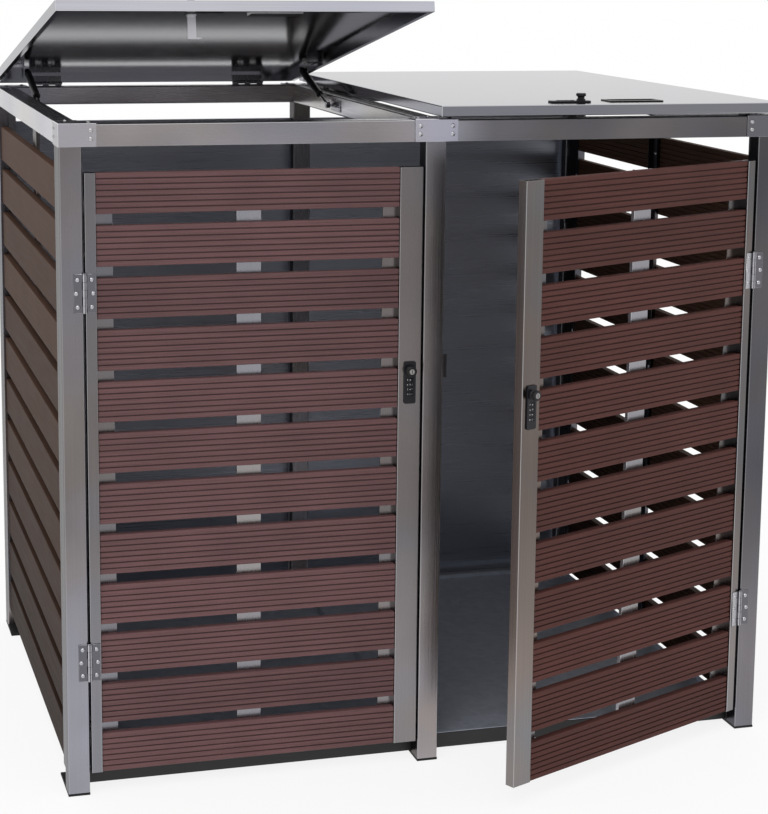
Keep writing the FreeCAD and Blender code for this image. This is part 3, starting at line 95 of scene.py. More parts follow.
def brushed_stainless(name, cool, warm, grain, facing=(1.0, 1.0, 1.0), under=1.0, foot=1.0, right=1.0,
                      grazing=1.0, edge=0.5, lines=0.07, clouds=0.1, roughness=0.24, blur=0.5,
                      turned=(0.0, 0.0, 0.0)):
    """Belt-brushed stainless steel. The eye gets a satin grey with fine lines along the grain,
    which drifts between a cool and a warm tone every few hundred millimetres, with painted
    highlights on its edges. Real belt lines are 0.1 mm wide, which is too fine to show, so they
    are drawn 2 mm wide and 400 mm long.

    facing is the painted light and shade of the faces across x, y and z, under the painted shade
    of faces that look down, and grazing the tone of faces seen edge-on. foot is the tone near the
    ground, a painted reflection of the pale floor, and right the painted shade past the middle
    post, for the darker side of the studio. edge is the strength of the painted edge highlights,
    lines and clouds how far the tone varies, blur how far the lines draw a reflection out, and
    turned the turn of the piece."""
    material, tree, shader, coords = new_finish(name)
    line_width, line_length, drift = 0.002, 0.4, 0.35
    foot_low, foot_high = 0.1, 0.65
    right_from, right_to = 0.02, 0.12
    looks_down, looks_level = -0.6, -0.2
    line_depth = 0.0003 * lines
    stretch = [1 / line_width] * 3
    stretch["xyz".index(grain)] = 1 / line_length
    along = add(tree, "ShaderNodeMapping", {"Vector": coords, "Scale": stretch})
    belt_lines = add(tree, "ShaderNodeTexNoise",
                     {"Vector": along.outputs[0], "Scale": 1.0, "Detail": 3.0, "Roughness": 0.6})
    per_line = add(tree, "ShaderNodeMapRange",
                   {"Value": belt_lines.outputs[0], **NOISE_SPAN, "To Min": 1 - lines, "To Max": 1 + lines})
    haze = add(tree, "ShaderNodeTexNoise", {"Vector": coords, "Scale": 1 / drift, "Detail": 2.5})
    per_cloud = add(tree, "ShaderNodeMapRange",
                    {"Value": haze.outputs[0], "From Min": 0.35, "From Max": 0.65,
                     "To Min": 1 - clouds, "To Max": 1 + clouds})
    warmth = add(tree, "ShaderNodeMapRange",
                 {"Value": add(tree, "ShaderNodeSeparateColor", {0: haze.outputs[1]}).outputs[1],
                  "From Min": 0.4, "From Max": 0.6})
    place = add(tree, "ShaderNodeSeparateXYZ", {"Vector": coords})
    # Painted reflection of the pale floor: the tone moves towards foot near the ground.
    painted_height_light = add(tree, "ShaderNodeMapRange",
                     {"Value": place.outputs["Z"], "From Min": foot_low, "From Max": foot_high,
                      "To Min": foot, "To Max": 1.0}, interpolation_type="SMOOTHSTEP")
    # Painted shade: past the middle post the tone moves towards right.
    painted_right_shade = add(tree, "ShaderNodeMapRange",
                   {"Value": place.outputs["X"], "From Min": right_from, "From Max": right_to,
                    "To Min": 1.0, "To Max": right}, interpolation_type="SMOOTHSTEP")
    own_normal = add(tree, "ShaderNodeTexCoord").outputs["Normal"]
    normal = add(tree, "ShaderNodeMapping",
                 {"Vector": own_normal, "Rotation": [-angle for angle in turned]}, vector_type="VECTOR")
    # Painted light and shade: each face's tone follows the way it faces.
    squares = add(tree, "ShaderNodeVectorMath", {0: normal.outputs[0], 1: normal.outputs[0]},
                  operation="MULTIPLY")
    painted_face_light = add(tree, "ShaderNodeVectorMath", {0: squares.outputs[0], 1: facing},
                   operation="DOT_PRODUCT")
    # The fourth powers of a normal's parts add up to 1 on a flat face and to 0.5 on an edge.
    flat = add(tree, "ShaderNodeVectorMath", {0: squares.outputs[0], 1: squares.outputs[0]},
               operation="DOT_PRODUCT")
    on_face, on_edge = 0.95, 0.55
    # Painted highlight: faces at an edge are lightened towards the pale edge colour.
    edge_highlight = add(tree, "ShaderNodeMapRange",
               {"Value": flat.outputs["Value"], "From Min": on_face, "From Max": on_edge,
                "To Min": 0.0, "To Max": edge})
    upward = add(tree, "ShaderNodeSeparateXYZ", {"Vector": normal.outputs[0]}).outputs["Z"]
    # Painted shade on faces that look down.
    painted_underside_shade = add(tree, "ShaderNodeMapRange",
                    {"Value": upward, "From Min": looks_down, "From Max": looks_level,
                     "To Min": under, "To Max": 1.0})
    total = painted_face_light.outputs["Value"]
    for part in (per_line, per_cloud, painted_height_light, painted_right_shade, painted_underside_shade):
        total = add(tree, "ShaderNodeMath", {0: total, 1: part.outputs[0]}, operation="MULTIPLY").outputs[0]
    tinted = add(tree, "ShaderNodeMix", {0: warmth.outputs[0], 6: linear(cool), 7: linear(warm)},
                 data_type="RGBA")
    mixed = add(tree, "ShaderNodeMix", {0: 1.0, 6: tinted.outputs[2], 7: total},
                data_type="RGBA", blend_type="MULTIPLY")
    edge_highlighted = add(tree, "ShaderNodeMix", {0: edge_highlight.outputs[0], 6: mixed.outputs[2], 7: linear(EDGE_HIGHLIGHT)},
                   data_type="RGBA")
    tree.links.new(edge_highlighted.outputs[2], shader.inputs["Base Color"])
    gloss = add(tree, "ShaderNodeMapRange",
                {"Value": belt_lines.outputs[0], **NOISE_SPAN,
                 "To Min": 0.85 * roughness, "To Max": 1.2 * roughness})
    tree.links.new(gloss.outputs[0], shader.inputs["Roughness"])
    bump = add(tree, "ShaderNodeBump",
               {"Height": belt_lines.outputs[0], "Distance": line_depth, "Strength": 1.0})
    tree.links.new(bump.outputs[0], shader.inputs["Normal"])
    belt = add(tree, "ShaderNodeCombineXYZ", {grain.upper(): 1.0})
    tree.links.new(belt.outputs[0], shader.inputs["Tangent"])
    shader.inputs["Anisotropic"].default_value = blur
    shader.inputs["Specular Tint"].default_value = (grazing, grazing, grazing, 1.0)
    shader.inputs["Metallic"].default_value = 1.0
    return material


def dress(names, material):
    """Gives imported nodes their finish."""
    for name in names:
        for slot in packed[name].material_slots:
            slot.material = material


def soften(names, radius, thin=PLATE_EDGE):
    """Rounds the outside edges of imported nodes: radius where both faces are wide, and thin at
    the edges of plate. Edges of holes stay as they are."""
    tree = bpy.data.node_groups.new("rounded_" + names[0], "GeometryNodeTree")
    for way in ("INPUT", "OUTPUT"):
        tree.interface.new_socket("Geometry", in_out=way, socket_type="NodeSocketGeometry")
    start = add(tree, "NodeGroupInput")
    whole = add(tree, "GeometryNodeMergeByDistance", {"Geometry": start.outputs[0], "Distance": WELD})
    plain = add(tree, "GeometryNodeRemoveAttribute",
                {"Geometry": whole.outputs[0], "Name": "custom_normal"})
    fold = add(tree, "GeometryNodeInputMeshEdgeAngle")
    sharp = add(tree, "FunctionNodeCompare", {"A": fold.outputs["Unsigned Angle"], "B": SHARP_FOLD},
                data_type="FLOAT", operation="GREATER_THAN")
    convex = add(tree, "FunctionNodeCompare", {"A": fold.outputs["Signed Angle"], "B": SHARP_FOLD},
                 data_type="FLOAT", operation="GREATER_THAN")
    ends = add(tree, "GeometryNodeInputMeshEdgeVertices")
    length = add(tree, "ShaderNodeVectorMath",
                 {0: ends.outputs["Position 1"], 1: ends.outputs["Position 2"]}, operation="DISTANCE")
    long = add(tree, "FunctionNodeCompare", {"A": length.outputs["Value"], "B": SHORT_EDGE},
               data_type="FLOAT", operation="GREATER_THAN")
    chosen = add(tree, "FunctionNodeBooleanMath", {0: convex.outputs[0], 1: long.outputs[0]},
                 operation="AND")
    area = add(tree, "GeometryNodeInputMeshFaceArea")
    inverse = add(tree, "ShaderNodeMath", {0: 1.0, 1: area.outputs[0]}, operation="DIVIDE")
    # An edge lies on wide faces where its length times the mean of 1 / area is small.
    of_face = add(tree, "GeometryNodeFieldOnDomain", {"Value": inverse.outputs[0]},
                  data_type="FLOAT", domain="FACE")
    product = add(tree, "ShaderNodeMath", {0: of_face.outputs[0], 1: length.outputs["Value"]},
                  operation="MULTIPLY")
    wide = add(tree, "FunctionNodeCompare", {"A": product.outputs[0], "B": 1 / (2 * radius)},
               data_type="FLOAT", operation="LESS_THAN")
    share = add(tree, "GeometryNodeSwitch",
                {"Switch": wide.outputs[0], "False": thin / radius, "True": 1.0}, input_type="FLOAT")
    weight = add(tree, "GeometryNodeSwitch",
                 {"Switch": chosen.outputs[0], "False": 0.0, "True": share.outputs[0]}, input_type="FLOAT")
    marked = add(tree, "GeometryNodeStoreNamedAttribute",
                 {"Geometry": plain.outputs[0], "Name": "bevel_weight_edge", "Value": weight.outputs[0]},
                 data_type="FLOAT", domain="EDGE")
    smooth = add(tree, "GeometryNodeSetShadeSmooth",
                 {"Geometry": marked.outputs[0], "Shade Smooth": True}, domain="FACE")
    kept = add(tree, "FunctionNodeBooleanMath", {0: sharp.outputs[0], 1: chosen.outputs[0]},
               operation="NIMPLY")
    hard = add(tree, "GeometryNodeSetShadeSmooth",
               {"Geometry": smooth.outputs[0], "Selection": kept.outputs[0], "Shade Smooth": False},
               domain="EDGE")
    add(tree, "NodeGroupOutput", {0: hard.outputs[0]})
    for name in names:
        marking = packed[name].modifiers.new("marked_edges", "NODES")
        marking.node_group = tree
        bevel = packed[name].modifiers.new("rounded_edges", "BEVEL")
        bevel.limit_method = "WEIGHT"
        bevel.width = radius
        bevel.segments = 3
        bevel.use_clamp_overlap = False
        bevel.harden_normals = True


# Painted light and shade on the posts: side faces at half tone and fronts a little darker than tops, a
# lighter foot as a painted reflection of the floor, painted shade past the middle post and painted
# highlights on the edges.
upright_steel = brushed_stainless("brushed stainless, upright", "#818189", "#867f7e", "z",
                                  facing=(0.5, 0.85, 1.0), foot=1.75, right=0.55,
                                  grazing=0.5, edge=0.2, clouds=0.2)
dress(["front_posts", "rear_posts"], upright_steel)
soften(["front_posts", "rear_posts"], TUBE_CORNER)


# Rails. Folded steel channels in front and square tube at the back and along the depth, all
# linished along their length.

# Painted shade past the middle post on the crosswise rails, painted light on the side faces and painted
# shade on the tops of the depthwise rails, and painted highlights on all their edges.
cross_steel = brushed_stainless("brushed stainless, crosswise", "#8b8b94", "#908a8a", "x", right=0.5,
                                clouds=0.25)
depth_steel = brushed_stainless("brushed stainless, depthwise", "#a2a2a8", "#a5a2a0", "y",
                                facing=(1.3, 1.0, 0.7))
dress(["front_rails", "rear_rails"], cross_steel)
dress(["depth_rails"], depth_steel)
soften(["front_rails", "rear_rails", "depth_rails"], TUBE_CORNER)


# Corner brackets. Folded 2 mm plate over posts and rails, left a little brighter by a finer
# belt, with deburred edges.

# Painted shade on the side faces and past the middle post, and strong painted highlights on the edges.
bracket_steel = brushed_stainless("fine brushed stainless plate", "#a9a9b8", "#aaa6aa", "x",
                                  facing=(0.6, 1.0, 1.0), right=0.4, edge=0.8, lines=0.04)
dress(["corner_brackets"], bracket_steel)
soften(["corner_brackets"], 0.002, 0.0005)


# Side panels. Folded steel stiles in front and at the back, each with a flange behind the
# boards, and an upright bar half way along. The boards are screwed to all of them.

# The stiles take the posts' finish with its painted light, shade and edge highlights.
dress(["side_frames"], upright_steel)
soften(["side_frames"], 0.0012)


# Boards. Planks of wood-plastic composite, extruded with six grooves in their face and
# sanded along their length. They are screwed on from behind, and the doors show the grooved
# face and the sides the plain one.

BOARD_COUNT = 12
BOARD_BOTTOM = 0.042
BOARD_PITCH = 0.094
BOARD_HEIGHT = 0.073
BOARD_TOP = BOARD_BOTTOM + (BOARD_COUNT - 1) * BOARD_PITCH + BOARD_HEIGHT
GROOVE_PITCH = BOARD_HEIGHT / 7
GROOVE_WIDTH = 0.0024


def composite_board(name, colour, seed, turn=0.0, groove_tone=0.65, foot=1.0, sheen=0.3, arris=1.0):
    """Wood-plastic composite. The eye gets a dull red brown, a little different from plank
    to plank, with fine sanding streaks along it and grooves darkened with painted shade. Sanding
    lines of 0.3 mm are drawn 2 mm wide, and the wood's specks 2.4 mm apart.

    turn is the way of the planks round the upright, groove_tone the painted shade in the grooves,
    foot the tone of the lowest planks, painted light above 1 and painted shade below, and arris
    the painted highlight along each plank's top edge."""
    material, tree, shader, coords = new_finish(name)
    turned = add(tree, "ShaderNodeMapping", {"Vector": coords, "Rotation": (0, 0, -turn)})
    line_width, line_length, speck, blotch = 0.002, 0.12, 0.0024, 0.11
    count_from = BOARD_BOTTOM - 0.01
    first_groove, last_groove = 0.4 * GROOVE_PITCH, 6.6 * GROOVE_PITCH
    arris_low, arris_high = BOARD_HEIGHT - 0.0013, BOARD_HEIGHT - 0.0006
    stretch = (1 / line_length, 1 / line_width, 1 / line_width)
    stretched = add(tree, "ShaderNodeMapping", {"Vector": turned.outputs[0], "Scale": stretch})
    streaks = add(tree, "ShaderNodeTexNoise",
                  {"Vector": stretched.outputs[0], "Scale": 1.0, "Detail": 3.0, "Roughness": 0.6})
    specks = add(tree, "ShaderNodeTexNoise", {"Vector": coords, "Scale": 1 / speck, "Detail": 2.0})
    blotches = add(tree, "ShaderNodeTexNoise", {"Vector": coords, "Scale": 1 / blotch, "Detail": 3.0})
    height = add(tree, "ShaderNodeSeparateXYZ", {"Vector": coords}).outputs["Z"]
    above = add(tree, "ShaderNodeMath", {0: height, 1: count_from}, operation="SUBTRACT")
    counted = add(tree, "ShaderNodeMath", {0: above.outputs[0], 1: BOARD_PITCH}, operation="DIVIDE")
    plank = add(tree, "ShaderNodeMath", {0: counted.outputs[0]}, operation="FLOOR")
    own = add(tree, "ShaderNodeMath", {0: plank.outputs[0], 1: seed}, operation="ADD")
    draw = add(tree, "ShaderNodeTexWhiteNoise", {"W": own.outputs[0]}, noise_dimensions="1D")
    per_plank = add(tree, "ShaderNodeMapRange",
                    {"Value": draw.outputs[0], "To Min": 0.9, "To Max": 1.1})
    per_streak = add(tree, "ShaderNodeMapRange",
                     {"Value": streaks.outputs[0], **NOISE_SPAN, "To Min": 0.8, "To Max": 1.18})
    per_blotch = add(tree, "ShaderNodeMapRange",
                     {"Value": blotches.outputs[0], **NOISE_SPAN, "To Min": 0.93, "To Max": 1.07})
    per_speck = add(tree, "ShaderNodeMapRange",
                    {"Value": specks.outputs[0], **NOISE_SPAN, "To Min": 0.9, "To Max": 1.1})
    in_plank = add(tree, "ShaderNodeMath", {0: height, 1: BOARD_BOTTOM}, operation="SUBTRACT")
    level = add(tree, "ShaderNodeMath", {0: in_plank.outputs[0], 1: BOARD_PITCH},
                operation="FLOORED_MODULO")
    step = add(tree, "ShaderNodeMath", {0: level.outputs[0], 1: GROOVE_PITCH}, operation="DIVIDE")
    away = add(tree, "ShaderNodeMath", {0: step.outputs[0], 1: 0.5}, operation="PINGPONG")
    groove = add(tree, "ShaderNodeMath",
                 {0: away.outputs[0], 1: 0.5 * GROOVE_WIDTH / GROOVE_PITCH}, operation="LESS_THAN")
    low = add(tree, "ShaderNodeMath", {0: level.outputs[0], 1: first_groove}, operation="GREATER_THAN")
    high = add(tree, "ShaderNodeMath", {0: level.outputs[0], 1: last_groove}, operation="LESS_THAN")
    within = add(tree, "ShaderNodeMath", {0: low.outputs[0], 1: high.outputs[0]}, operation="MULTIPLY")
    dark = add(tree, "ShaderNodeMath", {0: groove.outputs[0], 1: within.outputs[0]}, operation="MULTIPLY")
    # Painted shade in the grooves.
    painted_groove_shade = add(tree, "ShaderNodeMapRange",
                     {"Value": dark.outputs[0], "To Min": 1.0, "To Max": groove_tone})
    # Painted light and shade: the tone moves towards foot at the lowest planks.
    painted_height_light = add(tree, "ShaderNodeMapRange",
                     {"Value": height, "From Min": BOARD_BOTTOM, "From Max": BOARD_TOP,
                      "To Min": foot, "To Max": 1.0})
    # Painted highlight along each plank's top edge.
    painted_arris_highlight = add(tree, "ShaderNodeMapRange",
                    {"Value": level.outputs[0], "From Min": arris_low, "From Max": arris_high,
                     "To Min": 1.0, "To Max": arris})
    total = per_plank.outputs[0]
    for part in (per_streak, per_blotch, per_speck, painted_groove_shade, painted_height_light, painted_arris_highlight):
        total = add(tree, "ShaderNodeMath", {0: total, 1: part.outputs[0]}, operation="MULTIPLY").outputs[0]
    mixed = add(tree, "ShaderNodeMix", {0: 1.0, 6: linear(colour), 7: total},
                data_type="RGBA", blend_type="MULTIPLY")
    tree.links.new(mixed.outputs[2], shader.inputs["Base Color"])
    gloss = add(tree, "ShaderNodeMapRange",
                {"Value": streaks.outputs[0], **NOISE_SPAN, "To Min": 0.5, "To Max": 0.65})
    tree.links.new(gloss.outputs[0], shader.inputs["Roughness"])
    shader.inputs["Specular IOR Level"].default_value = sheen
    bump = add(tree, "ShaderNodeBump", {"Height": streaks.outputs[0], "Distance": 0.0004, "Strength": 0.6})
    tree.links.new(bump.outputs[0], shader.inputs["Normal"])
    return material


# The side planks are coloured darker than the door planks as painted shade, darken further towards the
# bottom with painted shade, and carry a painted highlight along each top edge.
for side, seed in (("left", 11), ("right", 37)):
    dress([side + "_side_boards"],
          composite_board("wood-plastic, %s side" % side, "#513c32", seed, math.pi / 2, 1.0, 0.33,
                          sheen=0.03, arris=1.2))
soften(["left_side_boards", "right_side_boards"], 0.0014, 0.0003)


# Rear panels, base and feet. Flat stainless sheet with folded edges closes the back. Painted
# steel bars under the floor carry two galvanised trays, and everything stands on black pads.

# The sheet's edges carry painted highlights.
rear_sheet = brushed_stainless("stainless sheet, rear", "#989ca8", "#9698a2", "x", lines=0.015, clouds=0.02,
                               roughness=0.3)
dress(["rear_panels"], rear_sheet)
soften(["rear_panels"], 0.002)


def painted_steel(name, colour):
    """Black powder-coated steel. The eye gets a soft sheen broken by a fine orange peel, with
    grains about 2 mm apart, and a little dust in patches of 70 mm."""
    material, tree, shader, coords = new_finish(name)
    grain, patch = 0.002, 0.07
    peel = add(tree, "ShaderNodeTexNoise", {"Vector": coords, "Scale": 1 / grain, "Detail": 1.0})
    dust = add(tree, "ShaderNodeTexNoise", {"Vector": coords, "Scale": 1 / patch, "Detail": 4.0})
    tone = add(tree, "ShaderNodeMapRange",
               {"Value": dust.outputs[0], "From Min": 0.35, "From Max": 0.75, "To Min": 0.8, "To Max": 1.5})
    mixed = add(tree, "ShaderNodeMix", {0: 1.0, 6: linear(colour), 7: tone.outputs[0]},
                data_type="RGBA", blend_type="MULTIPLY")
    tree.links.new(mixed.outputs[2], shader.inputs["Base Color"])
    bump = add(tree, "ShaderNodeBump", {"Height": peel.outputs[0], "Distance": 0.0002, "Strength": 0.4})
    tree.links.new(bump.outputs[0], shader.inputs["Normal"])
    shader.inputs["Roughness"].default_value = 0.45
    return material


def galvanised_sheet(name, colour):
    """Hot-dip galvanised sheet. The eye gets a cold grey, dulled by a thin patina, with
    crystals of 15 mm that catch the light unequally."""
    material, tree, shader, coords = new_finish(name)
    crystal = 0.015
    crystals = add(tree, "ShaderNodeTexVoronoi", {"Vector": coords, "Scale": 1 / crystal})
    shade = add(tree, "ShaderNodeSeparateColor", {0: crystals.outputs["Color"]})
    tone = add(tree, "ShaderNodeMapRange", {"Value": shade.outputs[0], "To Min": 0.92, "To Max": 1.06})
    mixed = add(tree, "ShaderNodeMix", {0: 1.0, 6: linear(colour), 7: tone.outputs[0]},
                data_type="RGBA", blend_type="MULTIPLY")
    tree.links.new(mixed.outputs[2], shader.inputs["Base Color"])
    gloss = add(tree, "ShaderNodeMapRange", {"Value": shade.outputs[1], "To Min": 0.35, "To Max": 0.55})
    tree.links.new(gloss.outputs[0], shader.inputs["Roughness"])
    shader.inputs["Metallic"].default_value = 0.5
    return material


dress(["base_rails"], painted_steel("powder-coated steel, black", "#1c1c1e"))
soften(["base_rails"], 0.0015)
dress(["floor_trays"], galvanised_sheet("galvanised sheet", "#b6bcc8"))
soften(["floor_trays"], 0.0012)


def moulded_plastic(name, colour, roughness):
    """Injection-moulded plastic. The eye gets an even colour with the fine matt grain of a
    spark-eroded mould, drawn about 1 mm wide."""
    material, tree, shader, coords = new_finish(name)
    grain_width = 0.001
    grain = add(tree, "ShaderNodeTexNoise", {"Vector": coords, "Scale": 1 / grain_width, "Detail": 2.0})
    tone = add(tree, "ShaderNodeMapRange",
               {"Value": grain.outputs[0], **NOISE_SPAN, "To Min": 0.85, "To Max": 1.15})
    mixed = add(tree, "ShaderNodeMix", {0: 1.0, 6: linear(colour), 7: tone.outputs[0]},
                data_type="RGBA", blend_type="MULTIPLY")
    tree.links.new(mixed.outputs[2], shader.inputs["Base Color"])
    gloss = add(tree, "ShaderNodeMapRange",
                {"Value": grain.outputs[0], "To Min": roughness - 0.08, "To Max": roughness + 0.08})
    tree.links.new(gloss.outputs[0], shader.inputs["Roughness"])
    bump = add(tree, "ShaderNodeBump", {"Height": grain.outputs[0], "Distance": 0.0001, "Strength": 0.3})
    tree.links.new(bump.outputs[0], shader.inputs["Normal"])
    shader.inputs["Specular IOR Level"].default_value = 0.3
    return material


dress(["feet"], moulded_plastic("polyethylene, black", "#141415", 0.6))
soften(["feet"], 0.001)


# Hinges. Pressed 2 mm leaves with rolled knuckles on turned pins, in brushed stainless
# steel. One leaf of each is screwed to the frame, and the other to a door or riveted to a lid.

# Strong painted highlights on the edges of the hinges.
hinge_steel = brushed_stainless("brushed stainless, hinges", "#6a6a71", "#6c686a", "z",
                                edge=0.7, lines=0.04)
leaf_nodes = ["hinge_frame_leaves", "left_door_hinge_leaves", "right_door_hinge_leaves",
              "left_lid_hinge_leaves", "right_lid_hinge_leaves"]
dress(leaf_nodes + ["hinge_pins"], hinge_steel)
soften(leaf_nodes, 0.0006)
soften(["hinge_pins"], 0.0003, 0.0002)


# Screws. Domed stainless machine screws with a hexagon socket. Each stands where the packed
# node has it: the long way of its points is its axis.

HEAD_RADIUS = 0.0042
HEAD_HEIGHT = 0.0024
SHANK_RADIUS = 0.00175
SOCKET_RADIUS = 0.0015
SOCKET_DEPTH = 0.0014
ROUND_SIDES = 24
SMOOTH_FOLD = math.radians(35)


def screw_places(node):
    """For each screw in a node: the point under its head, the way it faces, its shank."""
    welded = bmesh.new()
    welded.from_mesh(packed[node].data)
    bmesh.ops.remove_doubles(welded, verts=welded.verts, dist=WELD)
    waiting, places = set(welded.verts), []
    while waiting:
        island, edge_of = [], [waiting.pop()]
        while edge_of:
            vertex = edge_of.pop()
            island.append(vertex.co)
            for edge in vertex.link_edges:
                other = edge.other_vert(vertex)
                if other in waiting:
                    waiting.remove(other)
                    edge_of.append(other)
        points = np.array(island)
        middle = points.mean(axis=0)
        axis = np.linalg.eigh(np.cov((points - middle).T))[1][:, 2]
        along = (points - middle) @ axis
        out = np.linalg.norm(points - middle - np.outer(along, axis), axis=1)
        seat = along[out > 0.9 * HEAD_RADIUS].mean()
        if seat < 0.5 * (along.min() + along.max()):
            axis, along, seat = -axis, -along, -seat
        places.append((middle + axis * seat, axis, seat - along.min()))
    welded.free()
    places.sort(key=lambda place: tuple(np.round(place[0], 4)))
    return places


def ring_points(rings):
    """Points of rings round local Z, each given by its radius and height."""
    return [(radius * math.cos(2 * math.pi * side / ROUND_SIDES),
             radius * math.sin(2 * math.pi * side / ROUND_SIDES), height)
            for radius, height in rings for side in range(ROUND_SIDES)]


def ring_faces(count):
    """Faces between rings of points, with the first and the last ring closed."""
    faces = [list(range(ROUND_SIDES))[::-1]]
    for ring in range(count - 1):
        for side in range(ROUND_SIDES):
            a, b = ring * ROUND_SIDES + side, ring * ROUND_SIDES + (side + 1) % ROUND_SIDES
            faces.append([a, b, b + ROUND_SIDES, a + ROUND_SIDES])
    faces.append([(count - 1) * ROUND_SIDES + side for side in range(ROUND_SIDES)])
    return faces


def screw_points(shank):
    """Points and faces of one screw that faces up local Z, with its socket."""
    ball = (HEAD_RADIUS ** 2 + HEAD_HEIGHT ** 2) / (2 * HEAD_HEIGHT)

    def dome(radius):
        return HEAD_HEIGHT - ball + math.sqrt(ball ** 2 - radius ** 2)

    rim = 1.25 * SOCKET_RADIUS
    rings = [(SHANK_RADIUS, -shank), (SHANK_RADIUS, 0.0), (HEAD_RADIUS, 0.0)]
    rings += [(HEAD_RADIUS * share, dome(HEAD_RADIUS * share)) for share in (0.97, 0.88, 0.74)]
    rings.append((rim, dome(rim)))
    points = ring_points(rings)
    for height in (dome(rim), dome(rim) - SOCKET_DEPTH):
        for side in range(ROUND_SIDES):
            angle = 2 * math.pi * side / ROUND_SIDES
            across = (angle + math.pi / 6) % (math.pi / 3) - math.pi / 6
            radius = SOCKET_RADIUS * math.cos(math.pi / 6) / math.cos(across)
            points.append((radius * math.cos(angle), radius * math.sin(angle), height))
    return np.array(points), ring_faces(len(points) // ROUND_SIDES)


def piece_from(name, points, faces, material, body):
    """A new piece from points and faces, with its finish, slot and body."""
    mesh = bpy.data.meshes.new(name)
    mesh.from_pydata([tuple(p) for p in points], [], faces)
    mesh.materials.append(material)
    mesh.validate()
    piece = bpy.data.objects.new(name, mesh)
    bpy.context.scene.collection.objects.link(piece)
    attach(piece, body)
    return piece


def turn_to(axis):
    """The turn that takes local Z to an axis."""
    return np.array(Vector(axis).to_track_quat("Z", "Y").to_matrix())


def smooth_by_angle(piece):
    """Smooth shading, with sharp edges where faces fold by more than SMOOTH_FOLD."""
    for face in piece.data.polygons:
        face.use_smooth = True
    piece.data.set_sharp_from_angle(angle=SMOOTH_FOLD)


def join_shape(points, faces, own_points, own_faces):
    """Adds one more shape to those that a piece is made of."""
    start = sum(len(p) for p in points)
    points.append(own_points)
    faces += [[start + i for i in face] for face in own_faces]


screw_steel = brushed_stainless("bright stainless, screws", "#bcbcc3", "#bebcbc", "z", edge=0.0,
                                lines=0.03, clouds=0.03, roughness=0.2, blur=0.0)
for node, body in (("frame_screws", "frame"), ("left_door_screws", "left_door"),
                   ("right_door_screws", "right_door")):
    points, faces = [], []
    for seat, axis, shank in screw_places(node):
        own, own_faces = screw_points(shank)
        join_shape(points, faces, own @ turn_to(axis).T + seat, own_faces)
    piece = piece_from(node + "_socketed", np.concatenate(points), faces, screw_steel, body)
    smooth_by_angle(piece)
    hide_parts(node)


# Doors. Stiles of folded stainless steel with a flange behind the boards, and a bar half way,
# with twelve planks between the stiles. The right door stands 25 degrees open.

RIGHT_DOOR_TURN = math.radians(25)

# Painted light and shade on the door steel: a lighter foot as a painted reflection of the floor, fronts and
# sides a little darker than tops, and painted highlights on the edges of stiles and bars.
for side, turn, cool, warm, foot in (("left", 0.0, "#75757b", "#7a7473", 1.55),
                                     ("right", RIGHT_DOOR_TURN, "#6a696b", "#746a65", 1.6)):
    stiles = [side + "_door_hinge_stile", side + "_door_lock_stile"]
    dress(stiles,
          brushed_stainless("brushed stainless, %s door" % side, cool, warm, "z", facing=(0.9, 0.9, 1.0),
                            foot=foot, edge=0.4, turned=(0.0, 0.0, turn)))
    soften(stiles, 0.0016)
    dress([side + "_door_centre_bar"],
          brushed_stainless("brushed stainless, %s bar" % side, "#94949c", "#989494", "z", lines=0.03,
                            turned=(0.0, 0.0, turn)))
    soften([side + "_door_centre_bar"], 0.0012)
# Painted light: the left door's planks grow lighter towards the bottom.
dress(["left_door_boards"], composite_board("wood-plastic, left door", "#634647", 3, foot=1.15))
# The right door's planks are a darker copy of the left door's: painted shade.
dress(["right_door_boards"],
      composite_board("wood-plastic, right door", "#52322e", 23, RIGHT_DOOR_TURN, sheen=0.15))
soften(["left_door_boards", "right_door_boards"], 0.0014, 0.0003)
# The keepers take the posts' finish with its painted light, shade and edge highlights.
dress(["lock_keepers"], upright_steel)
soften(["lock_keepers"], 0.0012)


# Locks. Four combination locks with a black moulded body, number wheels and a turning knob
# that moves a steel cam or hook. The wheels' numbers are printed white, and a nickel-plated
# key cylinder is pressed into each knob.

WHEELS = 4
WHEEL_PITCH = 0.009
WHEEL_FACES = 10
WHEEL_RADIUS = 0.008
WHEEL_FLAT = WHEEL_RADIUS * math.cos(math.pi / WHEEL_FACES)
NUMBER_HEIGHT = 0.004
NUMBER_STEP = 3
INK = 0.00004
KNOB_HEIGHT = 0.014
KNOB_DEPTH = 0.001
PLUG_RADIUS = 0.0052
PLUG_RISE = 0.00015
KEYWAY = (0.0014, 0.0062)
KEYWAY_RISE = 0.00002

lock_black = moulded_plastic("ABS, black", "#17171d", 0.34)
number_white = moulded_plastic("printed ink, white", "#d9d9d6", 0.5)
owners = ("left_door", "right_door", "left_lid", "right_lid")
lock_parts = [owner + part for owner in owners for part in ("_lock_case", "_lock_knob", "_lock_dials")]
dress(lock_parts, lock_black)
soften([name for name in lock_parts if "dials" not in name], 0.0005, 0.0003)
soften([name for name in lock_parts if "dials" in name], 0.0003, 0.0002)


def number_shape(figure):
    """Points and faces of one printed figure, standing on local XY."""
    letter = bpy.data.curves.new("figure", "FONT")
    letter.body = str(figure)
    letter.size = NUMBER_HEIGHT
    letter.extrude = INK
    letter.align_x, letter.align_y = "CENTER", "CENTER"
    letter.resolution_u = 3
    holder = bpy.data.objects.new("figure", letter)
    mesh = bpy.data.meshes.new_from_object(holder)
    points = np.array([v.co for v in mesh.vertices])
    faces = [list(face.vertices) for face in mesh.polygons]
    bpy.data.objects.remove(holder)
    return points, faces


